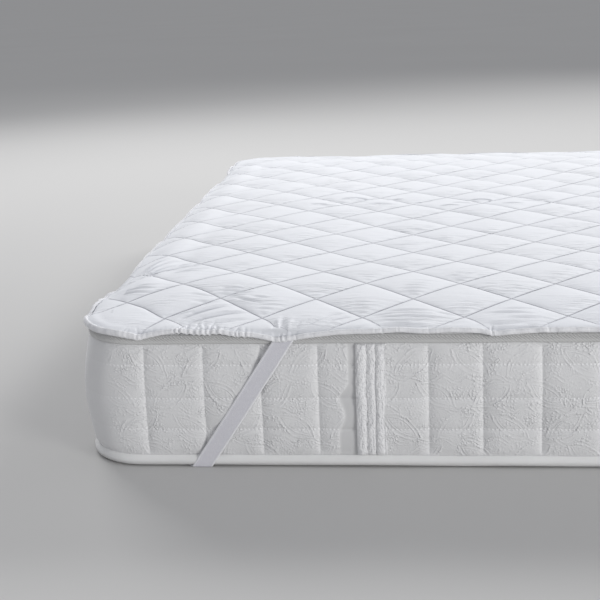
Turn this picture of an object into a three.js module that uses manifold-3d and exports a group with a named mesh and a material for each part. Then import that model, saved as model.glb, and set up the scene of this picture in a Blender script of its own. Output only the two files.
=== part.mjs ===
// A diamond-quilted mattress protector lying on its mattress.
//
// Millimetres, +Z up. X runs along the bed and the front long side faces -Y. The origin is on the
// surface that the mattress lies on, at the middle of its footprint. Every long piece follows one
// outline, the mattress's seam line seen from above, so its section is a short table of two
// columns: how far a point stands out from that line, and its height.
import * as THREE from 'three';
import { mergeVertices } from 'three/addons/utils/BufferGeometryUtils.js';
import Module from 'manifold-3d';

const wasm = await Module();
wasm.setup();

// ---------------------------------------------------------------- driving dimensions
const MATTRESS = { length: 2000, width: 1600, bulge: 8, cornerRadius: 100, cornerSteps: 6 };
const SEAM = { halfX: MATTRESS.length / 2 - MATTRESS.bulge, halfY: MATTRESS.width / 2 - MATTRESS.bulge };

// Diamond quilting: distance between stitch crossings, the first crossing's place measured from
// the mattress's left end and front side, and the loft of each diamond.
const QUILT = {
  spacing: 146, firstAlongX: 127, firstAlongY: 52,
  loft: 8, shoulder: 0.5, shoulderLoft: 0.8, uneven: 0.12,
};
const QUILT_TOP = { seamHeight: 213, edgeInset: 35, edgeDrop: 2, crownReach: 150 };

// The protector's lower rim: its height where it lies straight, and how far it drops below that
// at distances from each corner. It is gathered by the straps, and dips where they are sewn on.
const RIM_HEIGHT = 198;
const RIM_DROP = [
  { fromCorner: 30, drop: 0.5 },
  { fromCorner: 108, drop: 4.5 },
  { fromCorner: 158, drop: -1.5 },
  { fromCorner: 215, drop: 0 },
  { fromCorner: 265, drop: 4 },
  { fromCorner: 282, drop: 8.5 },
  { fromCorner: 316, drop: 8 },
  { fromCorner: 360, drop: 2 },
  { fromCorner: 450, drop: -1.5 },
  { fromCorner: 600, drop: 1.2 },
  { fromCorner: 740, drop: -1 },
  { fromCorner: 870, drop: 0.8 },
];

// Corner straps: flat elastic, from the rim down the border, under the corner and up again.
const STRAP = { width: 25, thickness: 1.2, topFromCorner: 299, footFromCorner: 180, topHeight: 187.6 };
const STRAP_SLOPE = (STRAP.topFromCorner - STRAP.footFromCorner) / STRAP.topHeight;
const STRAP_HALF_SPAN = (STRAP.width / 2) * Math.hypot(1, STRAP_SLOPE);
const UNDER = { foldOut: 5.4, top: 1.5, bottom: 0.3, grooveTop: 1.8, grooveMargin: 4, overrun: 12 };

// Vertical strips on the long sides.
const HANDLE = {
  fromEnd: 424, halfWidth: 21.5, foot: 17.6, head: 185.6,
  rolls: 3, crest: 6.5, valley: 2.8, edge: 1.4,
};

const GAP = 0.35;

// ---------------------------------------------------------------- section tables
// Mattress: flat underside, seam band for the lower tape, bulging border, seam band for the
// upper tape, rounded top edge and flat top.
const BODY_SECTION = [
  { out: -14, z: 0 },
  { out: -4, z: 1.2 },
  { out: 0, z: 3 },
  { out: 0, z: 17 },
  { out: 4, z: 35 },
  { out: 7, z: 65 },
  { out: MATTRESS.bulge, z: 100 },
  { out: 7, z: 135 },
  { out: 4, z: 165 },
  { out: 0, z: 186 },
  { out: 0, z: 199.5 },
  { out: -4, z: 203 },
  { out: -12, z: 205.3 },
  { out: -30, z: 207.4 },
  { out: -80, z: 209 },
];

const TAPE_BOTTOM_SECTION = [
  { out: GAP, z: 3.4 },
  { out: 2.5, z: 2.7 },
  { out: 4.5, z: 5 },
  { out: 5, z: 10 },
  { out: 4.5, z: 15 },
  { out: 2.5, z: 17 },
  { out: GAP, z: 16.6 },
];

const TAPE_TOP_SECTION = [
  { out: GAP, z: 186.6 },
  { out: 1.7, z: 186.3 },
  { out: 2.4, z: 188.5 },
  { out: 2.4, z: 196.5 },
  { out: 1.7, z: 198.8 },
  { out: GAP, z: 199.2 },
];

// Binding: folded over the panel's edge, open towards it. Heights are above the rim, so
// the whole section follows the rim's drop.
const BINDING_SECTION = [
  { out: 3.3, z: 0.5 },
  { out: 6.5, z: 0 },
  { out: 9.2, z: 1 },
  { out: 9.9, z: 4.6 },
  { out: 8.8, z: 8.3 },
  { out: 7.9, z: 8 },
  { out: 7.9, z: 1.6 },
  { out: 4.2, z: 1.6 },
  { out: 4.2, z: 2.4 },
  { out: 3.1, z: 2.2 },
];

// Panel: underside from the middle outwards, then the edge that the binding holds, then the top
// as far as the rounded edge. Column follow says how much of the rim's drop a point takes.
const PANEL_UNDERSIDE = [
  { out: -80, z: 209.3, follow: 0 },
  { out: -30, z: 208.3, follow: 0 },
  { out: -12, z: 206.8, follow: 0 },
];
const PANEL_EDGE = [
  { out: 0.5, z: 205, follow: 0.1 },
  { out: 4.3, z: 202.8, follow: 0.25 },
  { out: 4.7, z: RIM_HEIGHT + 1.9, follow: 1 },
  { out: 7.6, z: RIM_HEIGHT + 1.9, follow: 1 },
  { out: 7.6, z: RIM_HEIGHT + 7.5, follow: 1 },
  { out: 6, z: 207.4, follow: 0.45 },
];
const PANEL_SHOULDER = { out: -12, z: 210.5 };

// Strap: how far its inner face stands out from the seam line on its way down.
const STRAP_ROUTE = [
  { out: 4.4, z: RIM_HEIGHT - 8.5 - 0.4 },
  { out: 6, z: 165 },
  { out: 7.7, z: 135 },
  { out: 8.5, z: 100 },
  { out: 8, z: 65 },
  { out: 6.8, z: 35 },
  { out: 5.6, z: 16 },
  { out: 5.4, z: 5 },
];

// ---------------------------------------------------------------- mesh helpers
// Collects points and triangles, joins points that coincide, and turns the whole surface
// so that its faces point out.
function solidFrom(points, triangles) {
  const keep = [];
  const places = new Map();
  const index = points.map((p) => {
    const key = p.map((value) => Math.round(value * 1000)).join(',');
    if (!places.has(key)) {
      places.set(key, keep.length);
      keep.push(p);
    }
    return places.get(key);
  });
  const faces = triangles
    .map((face) => face.map((corner) => index[corner]))
    .filter(([a, b, c]) => a !== b && b !== c && c !== a);
  let volume = 0;
  for (const [a, b, c] of faces) {
    const [va, vb, vc] = [a, b, c].map((corner) => new THREE.Vector3(...keep[corner]));
    volume += va.dot(vb.cross(vc));
  }
  if (volume < 0) faces.forEach((face) => face.reverse());
  const geometry = new THREE.BufferGeometry();
  geometry.setAttribute('position', new THREE.Float32BufferAttribute(keep.flat(), 3));
  geometry.setIndex(faces.flat());
  return geometry;
}

// Joins two rings of points, listed the same way round. Each point carries t, its place along
// the outline, so the two rings can have different numbers of points.
function zip(lower, upper, lap, triangles) {
  let a = 0;
  let b = 0;
  const placeOf = (ring, k) => (k < ring.length ? ring[k].t : ring[0].t + lap);
  while (a < lower.length || b < upper.length) {
    const [a0, a1] = [lower[a % lower.length].id, lower[(a + 1) % lower.length].id];
    const [b0, b1] = [upper[b % upper.length].id, upper[(b + 1) % upper.length].id];
    const lowerFirst = placeOf(lower, a + 1) <= placeOf(upper, b + 1);
    if (b >= upper.length || (a < lower.length && lowerFirst)) {
      triangles.push([a0, a1, b0]);
      a += 1;
    } else {
      triangles.push([a0, b1, b0]);
      b += 1;
    }
  }
}

// ---------------------------------------------------------------- outline
// Drop of the rim at a distance from the nearer corner, between rows of the table.
function rimDrop(fromCorner) {
  const last = RIM_DROP[RIM_DROP.length - 1];
  if (fromCorner >= last.fromCorner) return last.drop;
  const next = Math.max(1, RIM_DROP.findIndex((row) => row.fromCorner > fromCorner));
  const [low, high] = [RIM_DROP[next - 1], RIM_DROP[next]];
  const part = (fromCorner - low.fromCorner) / (high.fromCorner - low.fromCorner);
  return low.drop + (high.drop - low.drop) * Math.max(0, part);
}

// Stations round the seam line, anticlockwise from above. Corner stations alone make the
// mattress; the rim's stations add the rows of the drop table on every straight side.
function makeStations() {
  const { cornerRadius: radius, cornerSteps: steps, length, width } = MATTRESS;
  const sides = [
    { dir: [1, 0], normal: [0, -1], reach: SEAM.halfX, away: SEAM.halfY, size: length },
    { dir: [0, 1], normal: [1, 0], reach: SEAM.halfY, away: SEAM.halfX, size: width },
    { dir: [-1, 0], normal: [0, 1], reach: SEAM.halfX, away: SEAM.halfY, size: length },
    { dir: [0, -1], normal: [-1, 0], reach: SEAM.halfY, away: SEAM.halfX, size: width },
  ];
  const stations = [];
  for (const { dir, normal, reach, away, size } of sides) {
    const put = (along, out, nx, ny, fromCorner, corner) => stations.push({
      x: dir[0] * along + normal[0] * out,
      y: dir[1] * along + normal[1] * out,
      nx, ny, drop: rimDrop(fromCorner), corner,
    });
    // Straight side: rows of the table from its first end, then back to its other end.
    const straightEnd = reach - radius;
    const rows = RIM_DROP.map((row) => size / 2 - row.fromCorner).filter((place) => place > 20);
    const places = [...rows.map((place) => -place), ...rows.reverse()]
      .filter((place) => Math.abs(place) < straightEnd - 1);
    put(-straightEnd, away, ...normal, size / 2 - straightEnd, true);
    places.forEach((place) => put(place, away, ...normal, size / 2 - Math.abs(place), false));
    put(straightEnd, away, ...normal, size / 2 - straightEnd, true);
    // Corner between this side and the next; its two ends belong to the straight sides.
    for (let k = 1; k < steps; k += 1) {
      const angle = (k / steps) * (Math.PI / 2);
      const [along, across] = [Math.sin(angle), Math.cos(angle)];
      const nx = dir[0] * along + normal[0] * across;
      const ny = dir[1] * along + normal[1] * across;
      const spread = Math.min(k, steps - k) / steps;
      const fromCorner = size / 2 - straightEnd - spread * radius;
      put(straightEnd + radius * along, away - radius + radius * across, nx, ny, fromCorner, true);
    }
  }
  // t is each station's distance along the seam line from the first one.
  stations.forEach((station, k) => {
    const before = stations[k - 1];
    station.t = before ? before.t + distance(before, station) : 0;
  });
  return stations;
}

const distance = (a, b) => Math.hypot(b.x - a.x, b.y - a.y);

const RIM_STATIONS = makeStations();
const CORNER_STATIONS = RIM_STATIONS.filter((station) => station.corner);
const LAST_STATION = RIM_STATIONS[RIM_STATIONS.length - 1];
const LAP = LAST_STATION.t + distance(LAST_STATION, RIM_STATIONS[0]);

const ringPoint = (station, row) => [
  station.x + station.nx * row.out,
  station.y + station.ny * row.out,
  row.z - station.drop * (row.follow ?? 0),
];

// ---------------------------------------------------------------- solids round the outline
// A closed section carried round the outline, such as a tape or the binding.
function bandGeometry(stations, section) {
  const points = stations.flatMap((station) => section.map((row) => ringPoint(station, row)));
  const rows = section.length;
  const triangles = [];
  for (let i = 0; i < stations.length; i += 1) {
    const next = (i + 1) % stations.length;
    for (let j = 0; j < rows; j += 1) {
      const up = (j + 1) % rows;
      triangles.push([i * rows + j, next * rows + j, next * rows + up]);
      triangles.push([i * rows + j, next * rows + up, i * rows + up]);
    }
  }
  return solidFrom(points, triangles);
}

// Grows a list of points and triangles ring by ring, with fans over the two ends.
class RingStack {
  constructor() {
    this.points = [];
    this.triangles = [];
  }

  add(point) {
    this.points.push(point);
    return this.points.length - 1;
  }

  ring(stations, row) {
    return stations.map((station) => ({ t: station.t, id: this.add(ringPoint(station, row)) }));
  }

  // A ring at given places along the outline, between the corner stations.
  ringAt(places, row) {
    return places.map((t) => {
      const k = CORNER_STATIONS.findLastIndex((station) => station.t <= t);
      const [a, b] = [CORNER_STATIONS[k], CORNER_STATIONS[(k + 1) % CORNER_STATIONS.length]];
      const part = (t - a.t) / ((b.t > a.t ? b.t : LAP) - a.t);
      const [from, to] = [ringPoint(a, row), ringPoint(b, row)];
      return { t, id: this.add(from.map((value, axis) => value + (to[axis] - value) * part)) };
    });
  }

  join(lower, upper) {
    zip(lower, upper, LAP, this.triangles);
  }

  fan(ring, height, upwards) {
    const centre = this.add([0, 0, height]);
    ring.forEach((point, k) => {
      const next = ring[(k + 1) % ring.length];
      this.triangles.push(upwards ? [centre, point.id, next.id] : [centre, next.id, point.id]);
    });
  }
}

function mattressBlank() {
  const stack = new RingStack();
  const rings = BODY_SECTION.map((row) => stack.ring(CORNER_STATIONS, row));
  rings.slice(1).forEach((ring, k) => stack.join(rings[k], ring));
  stack.fan(rings[0], BODY_SECTION[0].z, false);
  stack.fan(rings[rings.length - 1], BODY_SECTION[BODY_SECTION.length - 1].z, true);
  return solidFrom(stack.points, stack.triangles);
}

// ---------------------------------------------------------------- quilted panel
// Height of the stitched surface: flat in the middle, lower towards the edges.
function stitchedHeight(x, y) {
  const inset = Math.min(MATTRESS.length / 2 - Math.abs(x), MATTRESS.width / 2 - Math.abs(y));
  const { seamHeight, edgeInset, edgeDrop, crownReach } = QUILT_TOP;
  const part = THREE.MathUtils.smoothstep(inset, edgeInset, crownReach);
  return seamHeight - edgeDrop * (1 - part);
}

// One diamond as twelve triangles: a ring of slopes, then a low pyramid in the middle.
function diamondTriangles(cx, cy) {
  const half = QUILT.spacing / 2;
  const inner = half * QUILT.shoulder;
  const turn = [[1, 0], [0, 1], [-1, 0], [0, -1]];
  const loft = QUILT.loft * (1 + QUILT.uneven * Math.sin(cx / 97 + Math.cos(cy / 61) * 2));
  const at = (x, y, rise) => [x, y, stitchedHeight(x, y) + rise];
  const centre = at(cx, cy, loft);
  const triangles = [];
  turn.forEach(([ux, uy], k) => {
    const [vx, vy] = turn[(k + 1) % 4];
    const [outerA, outerB] = [at(cx + half * ux, cy + half * uy, 0), at(cx + half * vx, cy + half * vy, 0)];
    const rise = loft * QUILT.shoulderLoft;
    const [innerA, innerB] = [
      at(cx + inner * ux, cy + inner * uy, rise),
      at(cx + inner * vx, cy + inner * vy, rise),
    ];
    triangles.push([outerA, outerB, innerB], [outerA, innerB, innerA], [innerA, innerB, centre]);
  });
  return triangles;
}

// Keeps the part of a polygon that lies left of the line from p to q.
function clipLeft(polygon, p, q) {
  const side = (v) => (q[0] - p[0]) * (v[1] - p[1]) - (q[1] - p[1]) * (v[0] - p[0]);
  const kept = [];
  polygon.forEach((start, k) => {
    const end = polygon[(k + 1) % polygon.length];
    const [s0, s1] = [side(start), side(end)];
    if (s0 >= 0) kept.push(start);
    if (s0 * s1 < 0) {
      // Worked from the same end whichever way the edge runs, so neighbours agree.
      const forward = start[0] < end[0] || (start[0] === end[0] && start[1] < end[1]);
      const [from, to, f0, f1] = forward ? [start, end, s0, s1] : [end, start, s1, s0];
      kept.push(from.map((value, axis) => value + (to[axis] - value) * (f0 / (f0 - f1))));
    }
  });
  return kept;
}

// The diamonds that lie inside the panel's flat part, cut off along its edge.
function quiltedTriangles(loop) {
  const { spacing, firstAlongX, firstAlongY } = QUILT;
  const [left, front] = [-MATTRESS.length / 2, -MATTRESS.width / 2];
  const columns = Math.ceil(MATTRESS.length / spacing) + 1;
  const rows = Math.ceil(MATTRESS.width / (spacing / 2)) + 1;
  const inside = [];
  for (let row = -2; row <= rows; row += 1) {
    for (let column = -2; column <= columns; column += 1) {
      const shift = row % 2 === 0 ? spacing / 2 : 0;
      const cx = left + firstAlongX + column * spacing + shift;
      const cy = front + firstAlongY + (row * spacing) / 2;
      for (const triangle of diamondTriangles(cx, cy)) {
        let polygon = triangle;
        loop.forEach((point, k) => {
          if (polygon.length > 2) polygon = clipLeft(polygon, point, loop[(k + 1) % loop.length]);
        });
        for (let k = 2; k < polygon.length; k += 1) inside.push([polygon[0], polygon[k - 1], polygon[k]]);
      }
    }
  }
  return inside;
}

// Orders the points on the quilting's outer edge by their place along the outline.
function edgeRing(stack, loop) {
  const nearLoop = new Map();
  for (const [id, point] of stack.points.entries()) {
    for (let k = 0; k < loop.length; k += 1) {
      const [a, b] = [loop[k], loop[(k + 1) % loop.length]];
      const [dx, dy] = [b[0] - a[0], b[1] - a[1]];
      const length = Math.hypot(dx, dy);
      const along = ((point[0] - a[0]) * dx + (point[1] - a[1]) * dy) / length;
      const across = Math.abs((point[0] - a[0]) * dy - (point[1] - a[1]) * dx) / length;
      if (across < 0.001 && along > -0.001 && along < length - 0.001) {
        const from = CORNER_STATIONS[k].t;
        const to = k + 1 < loop.length ? CORNER_STATIONS[k + 1].t : LAP;
        nearLoop.set(id, from + (to - from) * Math.max(0, along / length));
      }
    }
  }
  return [...nearLoop].map(([id, t]) => ({ id, t })).sort((p, q) => p.t - q.t);
}

function panelGeometry() {
  const loopRow = { out: -QUILT_TOP.edgeInset, z: 0 };
  const loop = CORNER_STATIONS.map((station) => ringPoint(station, loopRow));
  const stack = new RingStack();
  const places = new Map();
  const place = (point) => {
    const key = point.map((value) => Math.round(value * 200)).join(',');
    if (!places.has(key)) places.set(key, stack.add(point));
    return places.get(key);
  };
  for (const triangle of quiltedTriangles(loop)) {
    const [a, b, c] = triangle.map(place);
    if (a !== b && b !== c && c !== a) stack.triangles.push([a, b, c]);
  }
  const quiltEdge = edgeRing(stack, loop);
  const under = PANEL_UNDERSIDE.map((row) => stack.ring(CORNER_STATIONS, row));
  const edge = PANEL_EDGE.map((row) => stack.ring(RIM_STATIONS, row));
  const shoulder = stack.ringAt(quiltEdge.map((point) => point.t), PANEL_SHOULDER);
  const rings = [...under, ...edge, shoulder, quiltEdge];
  stack.fan(under[0], PANEL_UNDERSIDE[0].z, false);
  rings.slice(1).forEach((ring, k) => stack.join(rings[k], ring));
  return solidFrom(stack.points, stack.triangles);
}

// ---------------------------------------------------------------- straps
// Cross-sections of a strap at the front left corner, from the front rim round to the left rim.
function strapSections() {
  const { thickness, footFromCorner } = STRAP;
  const heights = [
    ...STRAP_ROUTE.map((row) => ({ inner: row, outer: { out: row.out + thickness, z: row.z } })),
    { inner: { out: UNDER.foldOut, z: UNDER.top }, outer: { out: UNDER.foldOut + thickness, z: UNDER.bottom } },
  ];
  const sideSections = heights.map(({ inner, outer }) => {
    const middle = footFromCorner + STRAP_SLOPE * inner.z;
    const [near, far] = [middle - STRAP_HALF_SPAN, middle + STRAP_HALF_SPAN];
    return [[near, inner], [near, outer], [far, outer], [far, inner]];
  });
  const { length, width: depth } = MATTRESS;
  const front = sideSections.map((section) => section.map(([along, { out, z }]) => [
    along - length / 2, -(SEAM.halfY + out), z,
  ]));
  const left = sideSections.map((section) => section.map(([along, { out, z }]) => [
    -(SEAM.halfX + out), along - depth / 2, z,
  ]));
  return [...front, ...left.reverse()];
}

// A four-sided strip through its cross-sections, closed at both ends and mirrored to a corner.
function strapGeometry(mirrorX, mirrorY) {
  const sections = strapSections();
  const points = sections.flat().map(([x, y, z]) => [x * mirrorX, y * mirrorY, z]);
  const triangles = [];
  for (let i = 0; i + 1 < sections.length; i += 1) {
    for (let j = 0; j < 4; j += 1) {
      const [a, b] = [i * 4 + j, i * 4 + ((j + 1) % 4)];
      triangles.push([a, b, b + 4], [a, b + 4, a + 4]);
    }
  }
  const last = (sections.length - 1) * 4;
  triangles.push([0, 2, 1], [0, 3, 2], [last, last + 1, last + 2], [last, last + 2, last + 3]);
  return solidFrom(points, triangles);
}

// The shallow hollow that a strap presses into the mattress's underside, as a cutting prism.
function grooveGeometry(mirrorX, mirrorY) {
  const { length, width } = MATTRESS;
  const middle = STRAP.footFromCorner - length / 2 - width / 2;
  const halfSpan = STRAP_HALF_SPAN + UNDER.grooveMargin;
  const [near, far] = [middle - halfSpan, middle + halfSpan];
  const [edgeX, edgeY] = [-length / 2 - UNDER.overrun, -width / 2 - UNDER.overrun];
  const outline = [[near - edgeY, edgeY], [far - edgeY, edgeY], [edgeX, far - edgeX], [edgeX, near - edgeX]];
  const points = [-2, UNDER.grooveTop].flatMap((z) => outline.map(([x, y]) => [x * mirrorX, y * mirrorY, z]));
  const triangles = [[0, 2, 1], [0, 3, 2], [4, 5, 6], [4, 6, 7]];
  for (let j = 0; j < 4; j += 1) {
    const next = (j + 1) % 4;
    triangles.push([j, next, next + 4], [j, next + 4, j + 4]);
  }
  return solidFrom(points, triangles);
}

// ---------------------------------------------------------------- mattress body
function toManifold(geometry) {
  const bare = geometry.clone();
  bare.deleteAttribute('normal');
  bare.deleteAttribute('uv');
  const merged = mergeVertices(bare);
  return new wasm.Manifold(new wasm.Mesh({
    numProp: 3,
    vertProperties: new Float32Array(merged.attributes.position.array),
    triVerts: new Uint32Array(merged.index.array),
  }));
}

function fromManifold(solid) {
  const mesh = solid.getMesh();
  const geometry = new THREE.BufferGeometry();
  geometry.setAttribute('position', new THREE.BufferAttribute(mesh.vertProperties, 3));
  geometry.setIndex(new THREE.BufferAttribute(mesh.triVerts, 1));
  return geometry;
}

const CORNERS = [
  { name: 'front_left', mirrorX: 1, mirrorY: 1 },
  { name: 'front_right', mirrorX: -1, mirrorY: 1 },
  { name: 'back_left', mirrorX: 1, mirrorY: -1 },
  { name: 'back_right', mirrorX: -1, mirrorY: -1 },
];

function mattressGeometry() {
  let solid = toManifold(mattressBlank());
  for (const { mirrorX, mirrorY } of CORNERS) {
    solid = solid.subtract(toManifold(grooveGeometry(mirrorX, mirrorY)));
  }
  return fromManifold(solid);
}

// ---------------------------------------------------------------- handles
// How far the border stands out from the seam line at a height.
function borderOut(z) {
  const next = BODY_SECTION.findIndex((row) => row.z > z);
  const [low, high] = [BODY_SECTION[next - 1], BODY_SECTION[next]];
  return low.out + ((high.out - low.out) * (z - low.z)) / (high.z - low.z);
}

// A strip of upright rolls that follows the border's bulge, on the front side and centred on x = 0.
function handleGeometry() {
  const { halfWidth, rolls, crest, valley, edge } = HANDLE;
  const roll = (2 * halfWidth) / rolls;
  const profile = [[-halfWidth, 0], [-halfWidth, edge]];
  for (let k = 0; k < rolls; k += 1) {
    profile.push([-halfWidth + (k + 0.5) * roll, crest]);
    if (k + 1 < rolls) profile.push([-halfWidth + (k + 1) * roll, valley]);
  }
  profile.push([halfWidth, edge], [halfWidth, 0]);
  const { foot, head } = HANDLE;
  const heights = [foot, ...BODY_SECTION.map((row) => row.z).filter((z) => z > foot && z < head), head];
  const points = heights.flatMap((z) => profile.map(([across, depth]) => [
    across, -(SEAM.halfY + borderOut(z) + GAP + depth), z,
  ]));
  const size = profile.length;
  const triangles = [];
  for (let i = 0; i + 1 < heights.length; i += 1) {
    for (let j = 0; j < size; j += 1) {
      const [a, b] = [i * size + j, i * size + ((j + 1) % size)];
      triangles.push([a, b, b + size], [a, b + size, a + size]);
    }
  }
  const faces = THREE.ShapeUtils.triangulateShape(profile.map(([x, y]) => new THREE.Vector2(x, -y)), []);
  const top = (heights.length - 1) * size;
  faces.forEach(([a, b, c]) => triangles.push([a, c, b], [top + a, top + b, top + c]));
  return solidFrom(points, triangles);
}

// ---------------------------------------------------------------- scene graph
const cloth = (color, roughness) => new THREE.MeshStandardMaterial({ color, roughness, metalness: 0 });

function addMesh(parent, name, geometry, material) {
  geometry.computeVertexNormals();
  const mesh = new THREE.Mesh(geometry, material);
  mesh.name = name;
  parent.add(mesh);
  return mesh;
}

const group = new THREE.Group();

const protector = new THREE.Group();
group.add(protector);
addMesh(protector, 'protector_panel', panelGeometry(), cloth(0xf1f2f5, 0.85));
const bindingRows = BINDING_SECTION.map((row) => ({ out: row.out, z: RIM_HEIGHT + row.z, follow: 1 }));
addMesh(protector, 'protector_binding', bandGeometry(RIM_STATIONS, bindingRows), cloth(0xf4f4f4, 0.8));
for (const { name, mirrorX, mirrorY } of CORNERS) {
  addMesh(protector, `corner_strap_${name}`, strapGeometry(mirrorX, mirrorY), cloth(0xe4e3ec, 0.7));
}

const mattress = new THREE.Group();
group.add(mattress);
addMesh(mattress, 'mattress_body', mattressGeometry(), cloth(0xdcdcdc, 0.8));
const tapes = [
  { name: 'mattress_tape_top', section: TAPE_TOP_SECTION },
  { name: 'mattress_tape_bottom', section: TAPE_BOTTOM_SECTION },
];
for (const { name, section } of tapes) {
  addMesh(mattress, name, bandGeometry(CORNER_STATIONS, section), cloth(0xdfdfdf, 0.75));
}
const handlePlaces = [
  { name: 'front_left', x: -1, turn: 0 },
  { name: 'front_right', x: 1, turn: 0 },
  { name: 'back_left', x: -1, turn: Math.PI },
  { name: 'back_right', x: 1, turn: Math.PI },
];
for (const { name, x, turn } of handlePlaces) {
  const handle = addMesh(mattress, `mattress_handle_${name}`, handleGeometry(), cloth(0xd8d8d8, 0.8));
  handle.position.x = x * (MATTRESS.length / 2 - HANDLE.fromEnd);
  handle.rotation.z = turn;
}

export default group;
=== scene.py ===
"""Looks of a diamond-quilted mattress protector that lies on its mattress.

Metres, in the frame's axes: X along the bed, the front long side faces -Y, +Z up. Tables are in
millimetres. Every long piece follows one outline, the mattress's seam line seen from above: `out`
is how far a point stands out from that line, `inset` how far it lies inside.
"""

import itertools
import math

import bpy
import numpy as np
from mathutils import Matrix, Vector


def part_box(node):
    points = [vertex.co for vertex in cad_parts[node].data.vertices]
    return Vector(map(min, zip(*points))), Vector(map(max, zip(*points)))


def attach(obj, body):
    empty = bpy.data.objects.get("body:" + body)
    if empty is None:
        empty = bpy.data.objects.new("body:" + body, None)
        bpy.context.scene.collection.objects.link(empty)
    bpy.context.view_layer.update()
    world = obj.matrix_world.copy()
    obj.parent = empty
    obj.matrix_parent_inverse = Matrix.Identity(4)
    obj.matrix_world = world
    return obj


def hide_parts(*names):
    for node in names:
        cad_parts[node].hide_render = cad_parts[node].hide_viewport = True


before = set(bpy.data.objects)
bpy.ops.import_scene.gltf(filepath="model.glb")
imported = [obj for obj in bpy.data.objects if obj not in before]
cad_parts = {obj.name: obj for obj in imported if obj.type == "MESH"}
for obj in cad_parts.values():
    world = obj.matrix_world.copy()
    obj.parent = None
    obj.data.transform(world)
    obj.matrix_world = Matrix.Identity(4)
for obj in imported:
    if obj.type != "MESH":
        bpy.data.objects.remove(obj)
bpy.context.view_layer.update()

MM = 0.001
_, BODY_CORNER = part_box("mattress_body")
HALF_LENGTH, HALF_WIDTH, _ = BODY_CORNER
BULGE = 8 * MM
CORNER_RADIUS = 82 * MM
RIM_HEIGHT = 198 * MM
HALF_ROOT = math.sqrt(0.5)


# ---------------------------------------------------------------- camera
def make_camera():
    """The photograph's view: the near left corner of the bed, from in front and above."""
    yaw, pitch, roll = math.radians(5.56), math.radians(11.44), math.radians(-2.08)
    forward = Vector(
        (-math.sin(yaw) * math.cos(pitch), math.cos(yaw) * math.cos(pitch), -math.sin(pitch))
    )
    level = Vector((math.cos(yaw), math.sin(yaw), 0))
    above = level.cross(forward)
    right = level * math.cos(roll) + above * math.sin(roll)
    up = above * math.cos(roll) - level * math.sin(roll)
    data = bpy.data.cameras.new("camera")
    data.lens = 66.37
    data.sensor_width = 36
    data.shift_x, data.shift_y = -0.02, -0.15
    data.clip_end = 1000
    camera = bpy.data.objects.new("camera", data)
    turn = Matrix((right, up, -forward)).transposed()
    camera.matrix_world = Matrix.Translation((-0.4991, -2.28, 0.6807)) @ turn.to_4x4()
    bpy.context.scene.collection.objects.link(camera)
    bpy.context.scene.camera = camera


make_camera()


# ---------------------------------------------------------------- numbers
def smooth_step(value, low, high):
    part = np.clip((value - low) / (high - low), 0, 1)
    return part * part * (3 - 2 * part)


def table(rows, at):
    """A table's value at some distances, on a smooth curve that doesn't overshoot its rows.

    The distances are in metres and the table's first column is in millimetres."""
    x, y = np.array(rows, float).T
    secant = np.diff(y) / np.diff(x)
    slope = np.concatenate([secant[:1], np.zeros(len(x) - 2), secant[-1:]])
    same_way = secant[1:] * secant[:-1] > 0
    before, after = secant[:-1][same_way], secant[1:][same_way]
    slope[1:-1][same_way] = 2 * before * after / (before + after)
    at = np.clip(at / MM, x[0], x[-1])
    k = np.clip(np.searchsorted(x, at, side="right") - 1, 0, len(x) - 2)
    width = x[k + 1] - x[k]
    t = (at - x[k]) / width
    low = y[k] * (1 + 2 * t) * (1 - t) ** 2 + slope[k] * width * t * (1 - t) ** 2
    high = y[k + 1] * (3 - 2 * t) * t**2 - slope[k + 1] * width * t**2 * (1 - t)
    return low + high


def ripple(x, y, size, seed, terms=7):
    """Uneven waves of about that size over a plane, between about -1 and 1."""
    random = np.random.default_rng(seed)
    total = np.zeros(np.broadcast(x, y).shape)
    for _ in range(terms):
        angle, phase = random.uniform(0, 2 * math.pi, 2)
        pitch = size * random.uniform(0.7, 1.6)
        along = x * math.cos(angle) + y * math.sin(angle)
        total += np.sin(2 * math.pi * along / pitch + phase)
    return total / math.sqrt(terms)


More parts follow.
